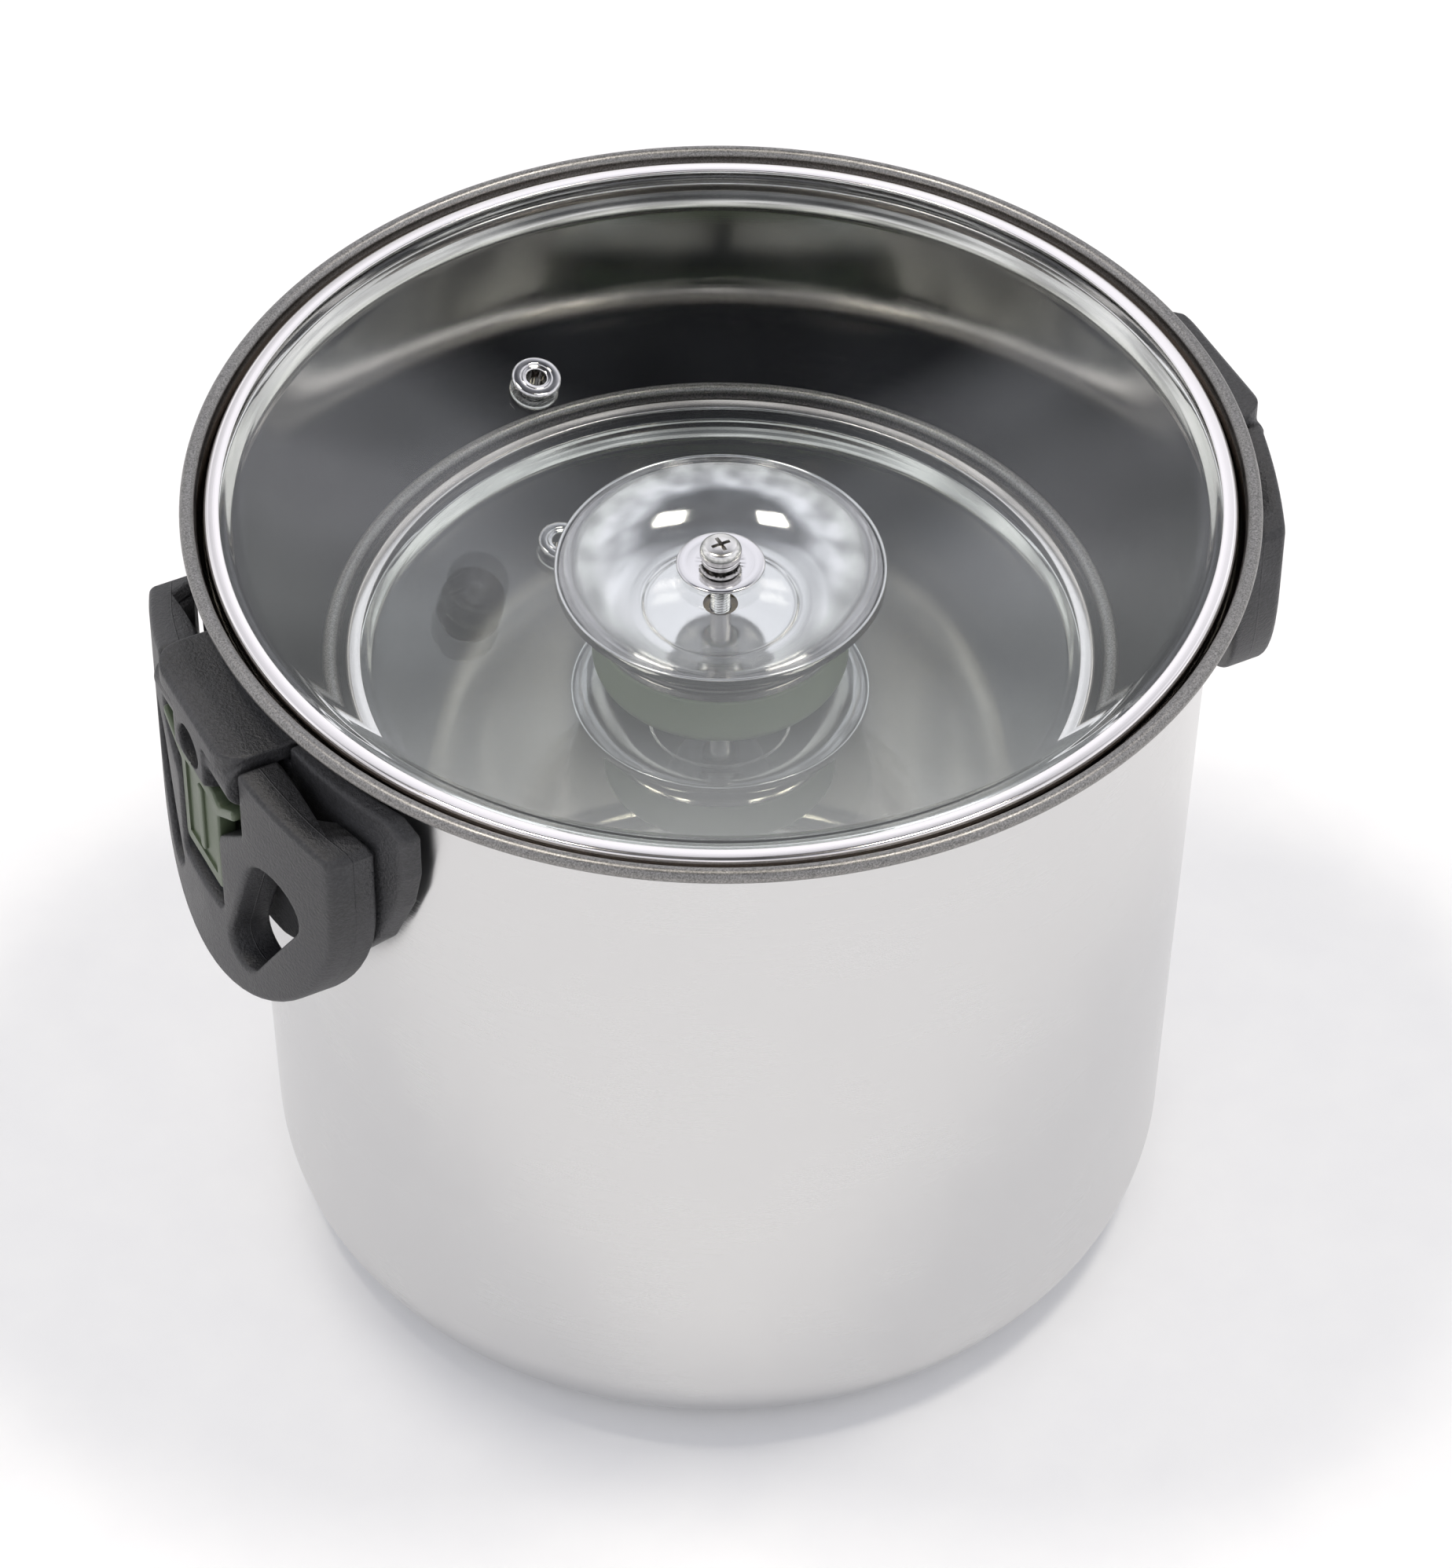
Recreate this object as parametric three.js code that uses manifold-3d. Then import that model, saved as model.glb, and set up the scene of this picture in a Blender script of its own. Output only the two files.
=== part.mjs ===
// Two stainless camping stock pots nested one inside the other, each with its tempered
// glass lid stored upside down in its rim. The outer pot has two fold-down side handles
// with sprung green latches. Millimetres, +Z up, origin at the centre of the outer base.
import * as THREE from 'three';
import { mergeVertices } from 'three/addons/utils/BufferGeometryUtils.js';
import Module from 'manifold-3d';

const wasm = await Module();
wasm.setup();

const group = new THREE.Group();
const GAP = 0.3;
const ROUND = 40;
const TURN = 2 * Math.PI;

// ---- driving sizes: pots -------------------------------------------------------------
const POT_HEIGHT = 206;
const WALL_R = 110.6;
const LIP_OVERHANG = 9.4;
const POT_TAPER = 3.9;
const CORNER_R = 21;
const INNER_CORNER_R = 16.8;
const SHEET = 0.8;
const BASE_T = 1.4;
const LIP_BAND = 3.4;
const SEAT_DEPTH = 7.4;
const NEST_SPACE = 28.5; // wall of the outer pot to wall of the inner pot
const NEST_CLEAR = 1.2; // knob of the outer lid down to the screw of the inner lid

// ---- driving sizes: lids -------------------------------------------------------------
const GLASS_T = 4;
const BAND_SHEET = 0.6;
const BAND_FACE = 3.9;
const LID_SAG = 24.3;
const INNER_LID_SAG = 14.3;
const DISH_R = 37.8;
const INNER_DISH_R = 35;
const SCREW_R = 2.4;
const HEAD_R = 4.75;
const DISH_DEPTH = 12;
const DISH_SHEET = 0.6;
const COLLAR_H = 3;
const GRIP_H = 15.3;
const SCREW_HEAD_H = 3.5;
const SPLIT_WASHER_T = 1.3;
const CUP_WASHER_T = 1;
const CUP_WASHER_R = 10;
const VENT_R = 5.75;
const VENT_HOLE_R = 2.3;

// ---- driving sizes: handles ----------------------------------------------------------
const GUARD_T = 5;
const GUARD_OUT_R = WALL_R + 5.9;
const HANDLE_FACE_X = GUARD_OUT_R + 12.5;
const HANDLE_BEND_R = GUARD_OUT_R - 1.5;
const HANDLE_T = 10;
const HANDLE_HALF_W = 49;
const HANDLE_DROP = 90;
const BLOCK_HALF_W = 20.2;
const BLOCK_FACE_X = HANDLE_FACE_X + 0.8;
const BLOCK_DROP = 12;
const HINGE_X = HANDLE_FACE_X - 6;
const HINGE_DROP = 20.5;
const KNUCKLE_R = 6.2;
const ARM_BACK_R = 7.6;
const BOSS_R = 11;
const BOSS_HALF_W = 8;
const PIN_R = 2.5;
const LATCH_HALF_W = 10.2;
const SCREW_DROP = 24;
const MOUNT_SCREW_R = 1.95;
const MOUNT_HEAD_R = 4.5;
const WELD_PLATE_T = 1.2;

// ---- colours -------------------------------------------------------------------------
const FINISH = {
  satin: { color: 0xc9cacc, roughness: 0.32, metalness: 1.0 },
  mirror: { color: 0xd6d4d2, roughness: 0.1, metalness: 1.0 },
  steel: { color: 0xb9babc, roughness: 0.25, metalness: 1.0 },
  spring: { color: 0x9a9b9d, roughness: 0.35, metalness: 1.0 },
  brass: { color: 0xb8964e, roughness: 0.35, metalness: 1.0 },
  glass: { color: 0xdfe7e4, roughness: 0.03, metalness: 0.0 },
  seal: { color: 0xe4e6e2, roughness: 0.5, metalness: 0.0 },
  black: { color: 0x2b2c2e, roughness: 0.55, metalness: 0.0 },
  green: { color: 0x7f9277, roughness: 0.45, metalness: 0.0 },
};

// ---- helpers -------------------------------------------------------------------------
const clean = (geometry) => {
  const bare = new THREE.BufferGeometry();
  bare.setAttribute('position', geometry.attributes.position.clone());
  if (geometry.index) bare.setIndex(geometry.index.clone());
  const merged = mergeVertices(bare, 1e-4);
  const index = merged.index.array;
  const kept = [];
  for (let i = 0; i < index.length; i += 3) {
    const [a, b, c] = [index[i], index[i + 1], index[i + 2]];
    if (a !== b && b !== c && c !== a) kept.push(a, b, c);
  }
  merged.setIndex(kept);
  return merged;
};

const signedVolume = (geometry) => {
  const p = geometry.attributes.position;
  const index = geometry.index.array;
  const [a, b, c] = [new THREE.Vector3(), new THREE.Vector3(), new THREE.Vector3()];
  let sum = 0;
  for (let i = 0; i < index.length; i += 3) {
    a.fromBufferAttribute(p, index[i]);
    b.fromBufferAttribute(p, index[i + 1]);
    c.fromBufferAttribute(p, index[i + 2]);
    sum += a.dot(b.cross(c)) / 6;
  }
  return sum;
};

const toSolid = (geometry) => {
  const g = clean(geometry);
  if (signedVolume(g) < 0) {
    const index = g.index.array;
    for (let i = 0; i < index.length; i += 3) [index[i], index[i + 1]] = [index[i + 1], index[i]];
  }
  const mesh = new wasm.Mesh({
    numProp: 3,
    vertProperties: new Float32Array(g.attributes.position.array),
    triVerts: new Uint32Array(g.index.array),
  });
  return new wasm.Manifold(mesh);
};

const addSolid = (name, solid, finish, matrix) => {
  const mesh = solid.getMesh();
  const g = new THREE.BufferGeometry();
  g.setAttribute('position', new THREE.BufferAttribute(new Float32Array(mesh.vertProperties), 3));
  g.setIndex(new THREE.BufferAttribute(new Uint32Array(mesh.triVerts), 1));
  if (matrix) g.applyMatrix4(matrix);
  g.computeVertexNormals();
  const node = new THREE.Mesh(g, new THREE.MeshStandardMaterial(FINISH[finish]));
  node.name = name;
  group.add(node);
};

// revolves [radius, height] points about the Z axis
const lathe = (points, segments = ROUND) => {
  const g = new THREE.LatheGeometry(points.map(([r, z]) => new THREE.Vector2(r, z)), segments);
  g.rotateX(Math.PI / 2);
  return toSolid(g);
};

// a straight prism: the outline lies in XY and runs from z0 to z1
const prismZ = (outline, z0, z1) => {
  const shape = new THREE.Shape(outline.map(([x, y]) => new THREE.Vector2(x, y)));
  const g = new THREE.ExtrudeGeometry(shape, { depth: z1 - z0, bevelEnabled: false });
  g.translate(0, 0, z0);
  return g;
};

// the same along X, the outline given as [y, z]
const prismX = (outline, x0, x1) => {
  const g = prismZ(outline, x0, x1);
  g.applyMatrix4(new THREE.Matrix4().set(0, 0, 1, 0, 1, 0, 0, 0, 0, 1, 0, 0, 0, 0, 0, 1));
  return toSolid(g);
};

// the same along Y, the outline given as [x, z]
const prismY = (outline, y0, y1) => {
  const g = prismZ(outline.map(([x, z]) => [z, x]), y0, y1);
  g.applyMatrix4(new THREE.Matrix4().set(0, 1, 0, 0, 0, 0, 1, 0, 1, 0, 0, 0, 0, 0, 0, 1));
  return toSolid(g);
};

const box = (x0, x1, y0, y1, z0, z1) => {
  return toSolid(prismZ([[x0, y0], [x1, y0], [x1, y1], [x0, y1]], z0, z1));
};

const rod = (r, length, segments = 20) => lathe([[0, 0], [r, 0], [r, length], [0, length]], segments);
const place = (solid, matrix) => {
  const m = solid.getMesh();
  const g = new THREE.BufferGeometry();
  g.setAttribute('position', new THREE.BufferAttribute(new Float32Array(m.vertProperties), 3));
  g.setIndex(new THREE.BufferAttribute(new Uint32Array(m.triVerts), 1));
  g.applyMatrix4(matrix);
  return toSolid(g);
};
const shifted = (solid, x, y, z) => place(solid, new THREE.Matrix4().makeTranslation(x, y, z));
const rodAlongX = (r, x0, x1, y, z, segments) => place(rod(r, x1 - x0, segments),
  new THREE.Matrix4().makeTranslation(x0, y, z)
    .multiply(new THREE.Matrix4().makeRotationY(Math.PI / 2)));
const rodAlongY = (r, y0, y1, x, z, segments) => place(rod(r, y1 - y0, segments),
  new THREE.Matrix4().makeTranslation(x, y0, z)
    .multiply(new THREE.Matrix4().makeRotationX(-Math.PI / 2)));

const arc = (cx, cy, r, from, to, steps) => {
  const points = [];
  for (let i = 0; i <= steps; i += 1) {
    const a = (from + (to - from) * i / steps) * Math.PI / 180;
    points.push([cx + r * Math.cos(a), cy + r * Math.sin(a)]);
  }
  return points;
};

// rounds the corners [x, y, radius] of a polygon
const rounded = (corners, steps = 4) => {
  const out = [];
  corners.forEach(([x, y, r = 0], i) => {
    const [px, py] = corners[(i + corners.length - 1) % corners.length];
    const [nx, ny] = corners[(i + 1) % corners.length];
    if (!r) {
      out.push([x, y]);
      return;
    }
    const u = new THREE.Vector2(px - x, py - y).normalize();
    const v = new THREE.Vector2(nx - x, ny - y).normalize();
    const half = Math.acos(THREE.MathUtils.clamp(u.dot(v), -1, 1)) / 2;
    const back = r / Math.tan(half);
    const mid = u.clone().add(v).normalize().multiplyScalar(r / Math.sin(half));
    const start = Math.atan2(y + u.y * back - y - mid.y, x + u.x * back - x - mid.x);
    const end = Math.atan2(v.y * back - mid.y, v.x * back - mid.x);
    let sweep = end - start;
    if (sweep > Math.PI) sweep -= TURN;
    if (sweep < -Math.PI) sweep += TURN;
    for (let k = 0; k <= steps; k += 1) {
      const a = start + sweep * k / steps;
      out.push([x + mid.x + r * Math.cos(a), y + mid.y + r * Math.sin(a)]);
    }
  });
  return out;
};

const ring = (r0, r1, z0, z1, segments) => {
  return lathe([[r0, z0], [r1, z0], [r1, z1], [r0, z1], [r0, z0]], segments);
};

// outline of a tapering slot with round ends
const teardrop = (y0, z0, r0, y1, z1, r1, steps = 7) => {
  const d = Math.hypot(y1 - y0, z1 - z0);
  const along = Math.atan2(z1 - z0, y1 - y0) * 180 / Math.PI;
  const tilt = Math.acos((r0 - r1) / d) * 180 / Math.PI;
  const far = arc(y1, z1, r1, along - tilt, along + tilt, steps);
  const near = arc(y0, z0, r0, along + tilt, along + 360 - tilt, steps);
  return [...far, ...near];
};

const mirrored = (outline) => outline.map(([y, z]) => [-y, z]).reverse();

// ---- pots: one deep-drawn sheet with a stepped lid seat and a rolled lip, in sections ----
// that meet face to face: floor, corner, wall, seat and rim, the rim whole or in quarters
const pot = (name, height, wallR, z0, corner, rimInQuarters) => {
  const lipR = wallR + LIP_OVERHANG;
  const bottomR = wallR - POT_TAPER;
  const footR = bottomR - corner;
  const bead = LIP_BAND / 2;
  const beadR = lipR - bead;
  const beadZ = height - bead;
  const seatZ = height - SEAT_DEPTH;
  const seatR = lipR - LIP_BAND - SHEET * 1.5;
  const topOf = height + z0;
  const section = (part, points) => {
    const solid = lathe([...points, points[0]].map(([r, z]) => [r, z + z0]));
    addSolid(`${name}_${part}`, solid, 'satin');
  };
  const wallTop = [[wallR, seatZ - 5], [wallR - SHEET, seatZ - 4.6]];
  const seatTop = [[seatR + SHEET, seatZ - 0.2], [seatR, seatZ + 0.2]];
  section('floor', [[0, 0], [footR, 0], [footR, BASE_T], [0, BASE_T]]);
  section('corner', [
    ...arc(footR, corner, corner, -90, 0, 5),
    ...arc(footR, corner, corner - SHEET, 0, -90, 4).map(([r, z]) => [r, Math.max(z, BASE_T)]),
  ]);
  section('wall', [[bottomR, corner], ...wallTop, [bottomR - SHEET, corner]]);
  section('seat', [wallTop[0], ...seatTop, wallTop[1]]);
  const rim = [
    seatTop[0],
    [beadR - bead * 0.75, beadZ - bead - 0.3],
    ...arc(beadR, beadZ, bead, -70, 180, 5),
    [seatR, beadZ - bead],
    seatTop[1],
  ];
  if (rimInQuarters) {
    const whole = lathe([...rim, rim[0]].map(([r, z]) => [r, z + z0]));
    const far = lipR + 5;
    [[1, 1], [-1, 1], [-1, -1], [1, -1]].forEach(([sx, sy], i) => {
      const [x0, x1] = sx > 0 ? [0, far] : [-far, 0];
      const [y0, y1] = sy > 0 ? [0, far] : [-far, 0];
      addSolid(`${name}_rim_${i + 1}`, whole.intersect(box(x0, x1, y0, y1, z0, topOf + 1)), 'satin');
    });
  } else {
    section('rim', rim);
  }
  return { seatZ: seatZ + z0, seatR, topZ: topOf };
};

// ---- heights and radii of a lid stored upside down in its seat ------------------------
const lidSizes = (seat, sag, dishR) => {
  const bandR = seat.seatR - GAP * 1.3;
  const bandZ = seat.seatZ + GAP + 0.2;
  const faceR = bandR - BAND_FACE;
  const rimTop = bandZ + BAND_SHEET + GAP + GLASS_T;
  const centreZ = seat.topZ - sag;
  const bowlR = faceR - 2.4;
  const drop = rimTop - centreZ;
  const sphere = (bowlR * bowlR + drop * drop) / (2 * drop);
  const rimZ = centreZ - GLASS_T + dishR * dishR / (2 * sphere) - 0.4;
  const dishZ = rimZ - DISH_DEPTH;
  const gripTop = dishZ - DISH_SHEET - COLLAR_H;
  return { bandR, bandZ, faceR, rimTop, centreZ, bowlR, sphere, dishZ, gripTop };
};
const SCREW_STACK = GAP * 3 + CUP_WASHER_T + SPLIT_WASHER_T + 0.1; // glass up to the screw head

const outerSeat = pot('outer_pot', POT_HEIGHT, WALL_R, 0, CORNER_R, true);
const innerBaseZ = BASE_T + GAP;
const knobBottomZ = lidSizes(outerSeat, LID_SAG, DISH_R).gripTop - GRIP_H;
const innerTopZ = knobBottomZ - NEST_CLEAR - SCREW_STACK - SCREW_HEAD_H + INNER_LID_SAG;
const innerSeat = pot('inner_pot', innerTopZ - innerBaseZ, WALL_R - NEST_SPACE, innerBaseZ,
  INNER_CORNER_R, false);

// ---- lid: glass bowl, steel band, vent eyelet and knob --------------------------------
const lid = (prefix, seat, sag, dishR, ventR, ventDeg) => {
  const { bandR, bandZ, faceR, rimTop, bowlR, centreZ, sphere, dishZ, gripTop } = lidSizes(
    seat, sag, dishR);
  const bandTop = bandZ + GLASS_T + GAP * 2 + BAND_SHEET * 2;
  addSolid(`${prefix}_lid_band`, lathe([
    [faceR, bandZ],
    [bandR, bandZ],
    [bandR, bandTop - 0.8],
    [bandR - 0.8, bandTop],
    [faceR, bandTop],
    [faceR, bandTop - BAND_SHEET],
    [bandR - BAND_SHEET, bandTop - BAND_SHEET],
    [bandR - BAND_SHEET, bandZ + BAND_SHEET],
    [faceR, bandZ + BAND_SHEET],
    [faceR, bandZ],
  ]), 'mirror');

  // glass: a shallow spherical bowl with a flat rim held in the band
  const bowl = (r) => centreZ + sphere - Math.sqrt(sphere * sphere - r * r);
  const holeR = SCREW_R + 1.8;
  const radii = [holeR];
  for (let i = 1; i <= 5; i += 1) radii.push(holeR + (bowlR - holeR) * i / 5);
  const under = [...radii].map((r) => [r + 0.35 * (r / bowlR) * GLASS_T, bowl(r) - GLASS_T]);
  const edgeR = bandR - BAND_SHEET - GAP;
  const last = under.length - 1;
  under[0][0] = holeR;
  under[last][1] = rimTop - GLASS_T;
  const upper = radii.map((r) => [r, bowl(r)]).reverse();
  const plate = lathe([
    ...under,
    [edgeR, rimTop - GLASS_T],
    [edgeR, rimTop],
    ...upper,
    under[0],
  ]);
  const angle = ventDeg * Math.PI / 180;
  const tilt = Math.asin(ventR / sphere);
  const seatFrame = new THREE.Matrix4().makeRotationZ(angle)
    .multiply(new THREE.Matrix4().makeTranslation(ventR, 0, bowl(ventR)))
    .multiply(new THREE.Matrix4().makeRotationY(-tilt));
  const ventBore = place(shifted(rod(VENT_HOLE_R + 1.1, GLASS_T * 4, 20), 0, 0, -GLASS_T * 2),
    seatFrame);
  addSolid(`${prefix}_lid_glass`, plate.subtract(ventBore), 'glass');

  // vent eyelet: flange and barrel through the glass, its backing washer on the far side
  const barrelR = VENT_HOLE_R + 0.8;
  const deep = GLASS_T + 2.4;
  addSolid(`${prefix}_vent_eyelet`, place(lathe([
    [VENT_HOLE_R, -deep],
    [barrelR, -deep],
    [barrelR, GAP],
    [VENT_R - 0.5, GAP + 0.1],
    [VENT_R, GAP + 0.7],
    [VENT_R - 0.9, GAP + 1.5],
    [barrelR + 0.9, GAP + 0.9],
    [barrelR + 0.2, GAP + 1.3],
    [VENT_HOLE_R, GAP + 0.6],
    [VENT_HOLE_R, -deep],
  ], 20), seatFrame), 'mirror');
  addSolid(`${prefix}_vent_washer`, place(
    ring(barrelR + 0.15, VENT_R, -GLASS_T - 1.7, -GLASS_T - 0.7, 20), seatFrame), 'steel');

  // knob: spun steel dish, steel collar, green grip with a brass insert
  const k = dishR / DISH_R;
  const dishInside = [
    [4, 0],
    [17.4, 0],
    [18.2, 0.5],
    [25, 1.5],
    [32.5, 5.4],
    [37.0, 9.9],
    [37.1, DISH_DEPTH],
  ].map(([r, z]) => [r * k, z + dishZ]);
  const dishOutside = [
    [4, 0],
    [17.7, 0],
    [18.6, 0.5],
    [25.3, 1.5],
    [33, 5.4],
    [37.8, 9.9],
    [37.8, DISH_DEPTH + DISH_SHEET],
  ].map(([r, z]) => [r * k, z + dishZ - DISH_SHEET]);
  addSolid(`${prefix}_knob_dish`, lathe([
    ...dishOutside,
    ...[...dishInside].reverse(),
    dishOutside[0],
  ], 36), 'mirror');

  const gripBottom = gripTop - GRIP_H;
  const dishUnder = dishZ - DISH_SHEET;
  addSolid(`${prefix}_knob_collar`, lathe([
    [15 * k, dishUnder - GAP],
    [15 * k, gripTop + GAP],
    [29.3 * k, gripTop + GAP],
    [30.4 * k, dishUnder + 3.2],
    [29.4 * k, dishUnder + 3.0],
    [25.3 * k, dishUnder + 1.0],
    [18 * k, dishUnder - GAP],
    [15 * k, dishUnder - GAP],
  ].reverse(), 36), 'mirror');
  const cupZ = centreZ + GAP;
  const splitZ = cupZ + CUP_WASHER_T + GAP;
  const headZ = centreZ + SCREW_STACK;
  const insertR = 4.6;
  const insertZ = gripTop - 10.5;
  addSolid(`${prefix}_knob_grip`, lathe([
    [0, gripBottom],
    ...arc((29.5 - 5) * k, gripBottom + 5, 5 * k, -90, 0, 4),
    [29.5 * k, gripTop],
    [insertR + GAP, gripTop],
    [insertR + GAP, insertZ - GAP],
    [0, insertZ - GAP],
  ], 36), 'green');
  const screwEnd = insertZ + 1.2;
  addSolid(`${prefix}_knob_insert`, lathe([
    [0, insertZ],
    [insertR, insertZ],
    [insertR, dishUnder - GAP],
    [SCREW_R + 0.2, dishUnder - GAP],
    [SCREW_R + 0.2, screwEnd - GAP],
    [0, screwEnd - GAP],
  ], 24), 'brass');

  // screw with a cross recess, split spring washer, wide cupped washer, soft seal
  const armL = 2.6;
  const armHalfW = 0.5;
  const recessZ = headZ + 1.4;
  const cross = box(-armL, armL, -armHalfW, armHalfW, recessZ, headZ + 5)
    .add(box(-armHalfW, armHalfW, -armL, armL, recessZ, headZ + 5));
  addSolid(`${prefix}_knob_screw`, lathe([
    [0, screwEnd],
    [SCREW_R - 0.5, screwEnd],
    [SCREW_R, screwEnd + 0.7],
    [SCREW_R, headZ],
    [HEAD_R, headZ],
    [HEAD_R, headZ + 1.6],
    [HEAD_R - 0.7, headZ + 2.7],
    [HEAD_R - 2.2, headZ + SCREW_HEAD_H - 0.2],
    [0, headZ + SCREW_HEAD_H],
  ], 24).subtract(cross), 'steel');
  const splitR = HEAD_R - 0.45;
  const split = box(0, splitR + 2, -0.35, 0.35, splitZ - 1, splitZ + SPLIT_WASHER_T + 1);
  addSolid(`${prefix}_spring_washer`,
    ring(SCREW_R + 0.25, splitR, splitZ, splitZ + SPLIT_WASHER_T, 20).subtract(split), 'spring');
  addSolid(`${prefix}_flat_washer`, lathe([
    [SCREW_R + 0.25, cupZ],
    [CUP_WASHER_R - 2, cupZ],
    [CUP_WASHER_R, cupZ + 0.25],
    [CUP_WASHER_R, cupZ + CUP_WASHER_T + 0.2],
    [CUP_WASHER_R - 2, cupZ + CUP_WASHER_T],
    [SCREW_R + 0.25, cupZ + CUP_WASHER_T],
    [SCREW_R + 0.25, cupZ],
  ], 28), 'mirror');
  addSolid(`${prefix}_lid_seal`,
    ring(SCREW_R + 0.3, holeR - GAP, centreZ - GLASS_T + 0.1, centreZ - 0.1, 16), 'seal');
};

lid('outer', outerSeat, LID_SAG, DISH_R, 67.9, 102.1);
lid('inner', innerSeat, INNER_LID_SAG, INNER_DISH_R, 56, 105);

// ---- handles: built on the +X side, turned half round for the other ------------------
const topZ = POT_HEIGHT;
const hingeZ = topZ - HINGE_DROP;
const BEHIND_X = WALL_R - 20; // well inside the wall
const FRONT_X = HANDLE_FACE_X + 12; // well in front of the handles
const shell = (r0, r1) => ring(r0, r1, topZ - 120, topZ, 96);

const handleSet = (prefix, matrix) => {
  const add = (name, solid, finish) => addSolid(`${prefix}_${name}`, solid, finish, matrix);
  const armY = BLOCK_HALF_W + 0.7;
  const endZ = topZ - 22;
  const ovalZ = topZ - 40;
  const ovalH = HANDLE_DROP - 40;

  // weld plate with a threaded boss, fixed to the wall
  const plateR = WALL_R + 0.4;
  const screwZ = topZ - SCREW_DROP;
  const plate = prismX(rounded([[-16, topZ - 40, 3], [16, topZ - 40, 3], [16, topZ - 17.5, 3],
    [-16, topZ - 17.5, 3]]), BEHIND_X, FRONT_X).intersect(
    shell(plateR, plateR + WELD_PLATE_T));
  const boss = rodAlongX(4, plateR + 0.6, GUARD_OUT_R - 0.1, 0, screwZ, 20);
  const tap = rodAlongX(2.2, plateR + 0.9, FRONT_X, 0, screwZ, 16);
  add('weld_plate', plate.add(boss).subtract(tap), 'steel');

  // rear guard: curved plate hugging the wall behind the handle
  const guardIn = GUARD_OUT_R - GUARD_T;
  const guardY = BLOCK_HALF_W + 0.8;
  const guardSide = [
    [guardY, topZ - 17.2],
    [guardY, topZ - 12],
    [50.5, topZ - 12.6],
    [54.4, topZ - 16.5],
    [54.4, topZ - 28],
    [52.6, topZ - 38],
    [47.5, topZ - 51.5],
    [39.5, topZ - 62],
    [28, topZ - 71],
    [14, topZ - 77],
  ];
  const guardOutline = [...guardSide, [0, topZ - 79], ...mirrored(guardSide)];
  const guardHole = teardrop(36.5, topZ - 37, 8, 24, topZ - 59, 5);
  const guard = prismX(guardOutline, BEHIND_X, FRONT_X)
    .subtract(prismX(guardHole, BEHIND_X - 1, FRONT_X + 1))
    .subtract(prismX(mirrored(guardHole), BEHIND_X - 1, FRONT_X + 1))
    .subtract(prismX(rounded([[-9, topZ - 68, 3], [9, topZ - 68, 3], [9, topZ - 45, 3],
      [-9, topZ - 45, 3]]), BEHIND_X - 1, FRONT_X + 1))
    .intersect(shell(guardIn + 0.7, GUARD_OUT_R))
    .subtract(prismX(rounded([[-16.4, topZ - 40.4, 3], [16.4, topZ - 40.4, 3],
      [16.4, topZ - 16, 0], [-16.4, topZ - 16, 0]]), BEHIND_X, plateR + WELD_PLATE_T + GAP))
    .subtract(rodAlongX(4 + GAP, BEHIND_X, FRONT_X, 0, screwZ, 20));
  add('rear_guard', guard, 'black');

  // mount block: flat cap over a knuckle that carries the hinge pins and the screw boss
  const capZ = topZ - BLOCK_DROP;
  const plan = rounded([[BEHIND_X, -BLOCK_HALF_W, 0], [BLOCK_FACE_X, -BLOCK_HALF_W, 7],
    [BLOCK_FACE_X, BLOCK_HALF_W, 7], [BEHIND_X, BLOCK_HALF_W, 0]], 5);
  const backX = GUARD_OUT_R + 0.4;
  const seatX = GUARD_OUT_R + 7;
  const capProfile = [
    [BEHIND_X, capZ - 4.5],
    [backX, capZ - 4.5],
    [backX, hingeZ - 3],
    [HINGE_X, hingeZ - 3],
    [BLOCK_FACE_X, hingeZ],
    [BLOCK_FACE_X, capZ - 1.2],
    [BLOCK_FACE_X - 1.2, capZ],
    [BEHIND_X, capZ],
  ];
  const bossProfile = [
    [backX, hingeZ + 4],
    [backX, hingeZ - BOSS_R + 2],
    [HINGE_X - 5, hingeZ - BOSS_R + 0.4],
    ...arc(HINGE_X, hingeZ, BOSS_R, -100, -54, 5),
    [BLOCK_FACE_X, hingeZ - 8.4],
    [BLOCK_FACE_X, hingeZ + 4],
  ];
  const capBody = toSolid(prismZ(plan, topZ - 60, topZ))
    .intersect(prismY(capProfile, -BLOCK_HALF_W - 1, BLOCK_HALF_W + 1));
  const knuckle = rodAlongY(KNUCKLE_R, -BLOCK_HALF_W, BLOCK_HALF_W, HINGE_X, hingeZ, 24)
    .add(box(backX, HINGE_X, -BLOCK_HALF_W, BLOCK_HALF_W, hingeZ - KNUCKLE_R + 0.8,
      hingeZ + 4));
  const aside = BLOCK_HALF_W + 10;
  const clear = box(HINGE_X + 0.001, FRONT_X, -aside, aside, hingeZ - 20, hingeZ + 3)
    .subtract(rodAlongY(KNUCKLE_R, -aside, aside, HINGE_X, hingeZ, 24));
  const pinDepth = 8;
  const innerPinY = BLOCK_HALF_W - pinDepth;
  let block = capBody.subtract(clear).add(knuckle)
    .add(prismY(bossProfile, -BOSS_HALF_W, BOSS_HALF_W))
    .subtract(ring(BEHIND_X - 20, plateR - 0.1, topZ - 60, topZ, 96))
    .subtract(ring(BEHIND_X - 20, plateR + 0.7, capZ - 0.8, topZ, 96))
    .subtract(ring(BEHIND_X - 20, backX, topZ - 60, capZ - 4.5, 96))
    .subtract(rodAlongX(MOUNT_HEAD_R + 0.7, seatX, FRONT_X, 0, screwZ, 24))
    .subtract(rodAlongX(MOUNT_SCREW_R + 0.65, BEHIND_X, FRONT_X, 0, screwZ, 16));
  for (const side of [-1, 1]) {
    const from = side > 0 ? innerPinY - GAP : -BLOCK_HALF_W - 1;
    const to = side > 0 ? BLOCK_HALF_W + 1 : -innerPinY + GAP;
    block = block.subtract(rodAlongY(PIN_R + 0.15, from, to, HINGE_X, hingeZ, 20));
  }
  add('mount_block', block, 'black');

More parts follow.
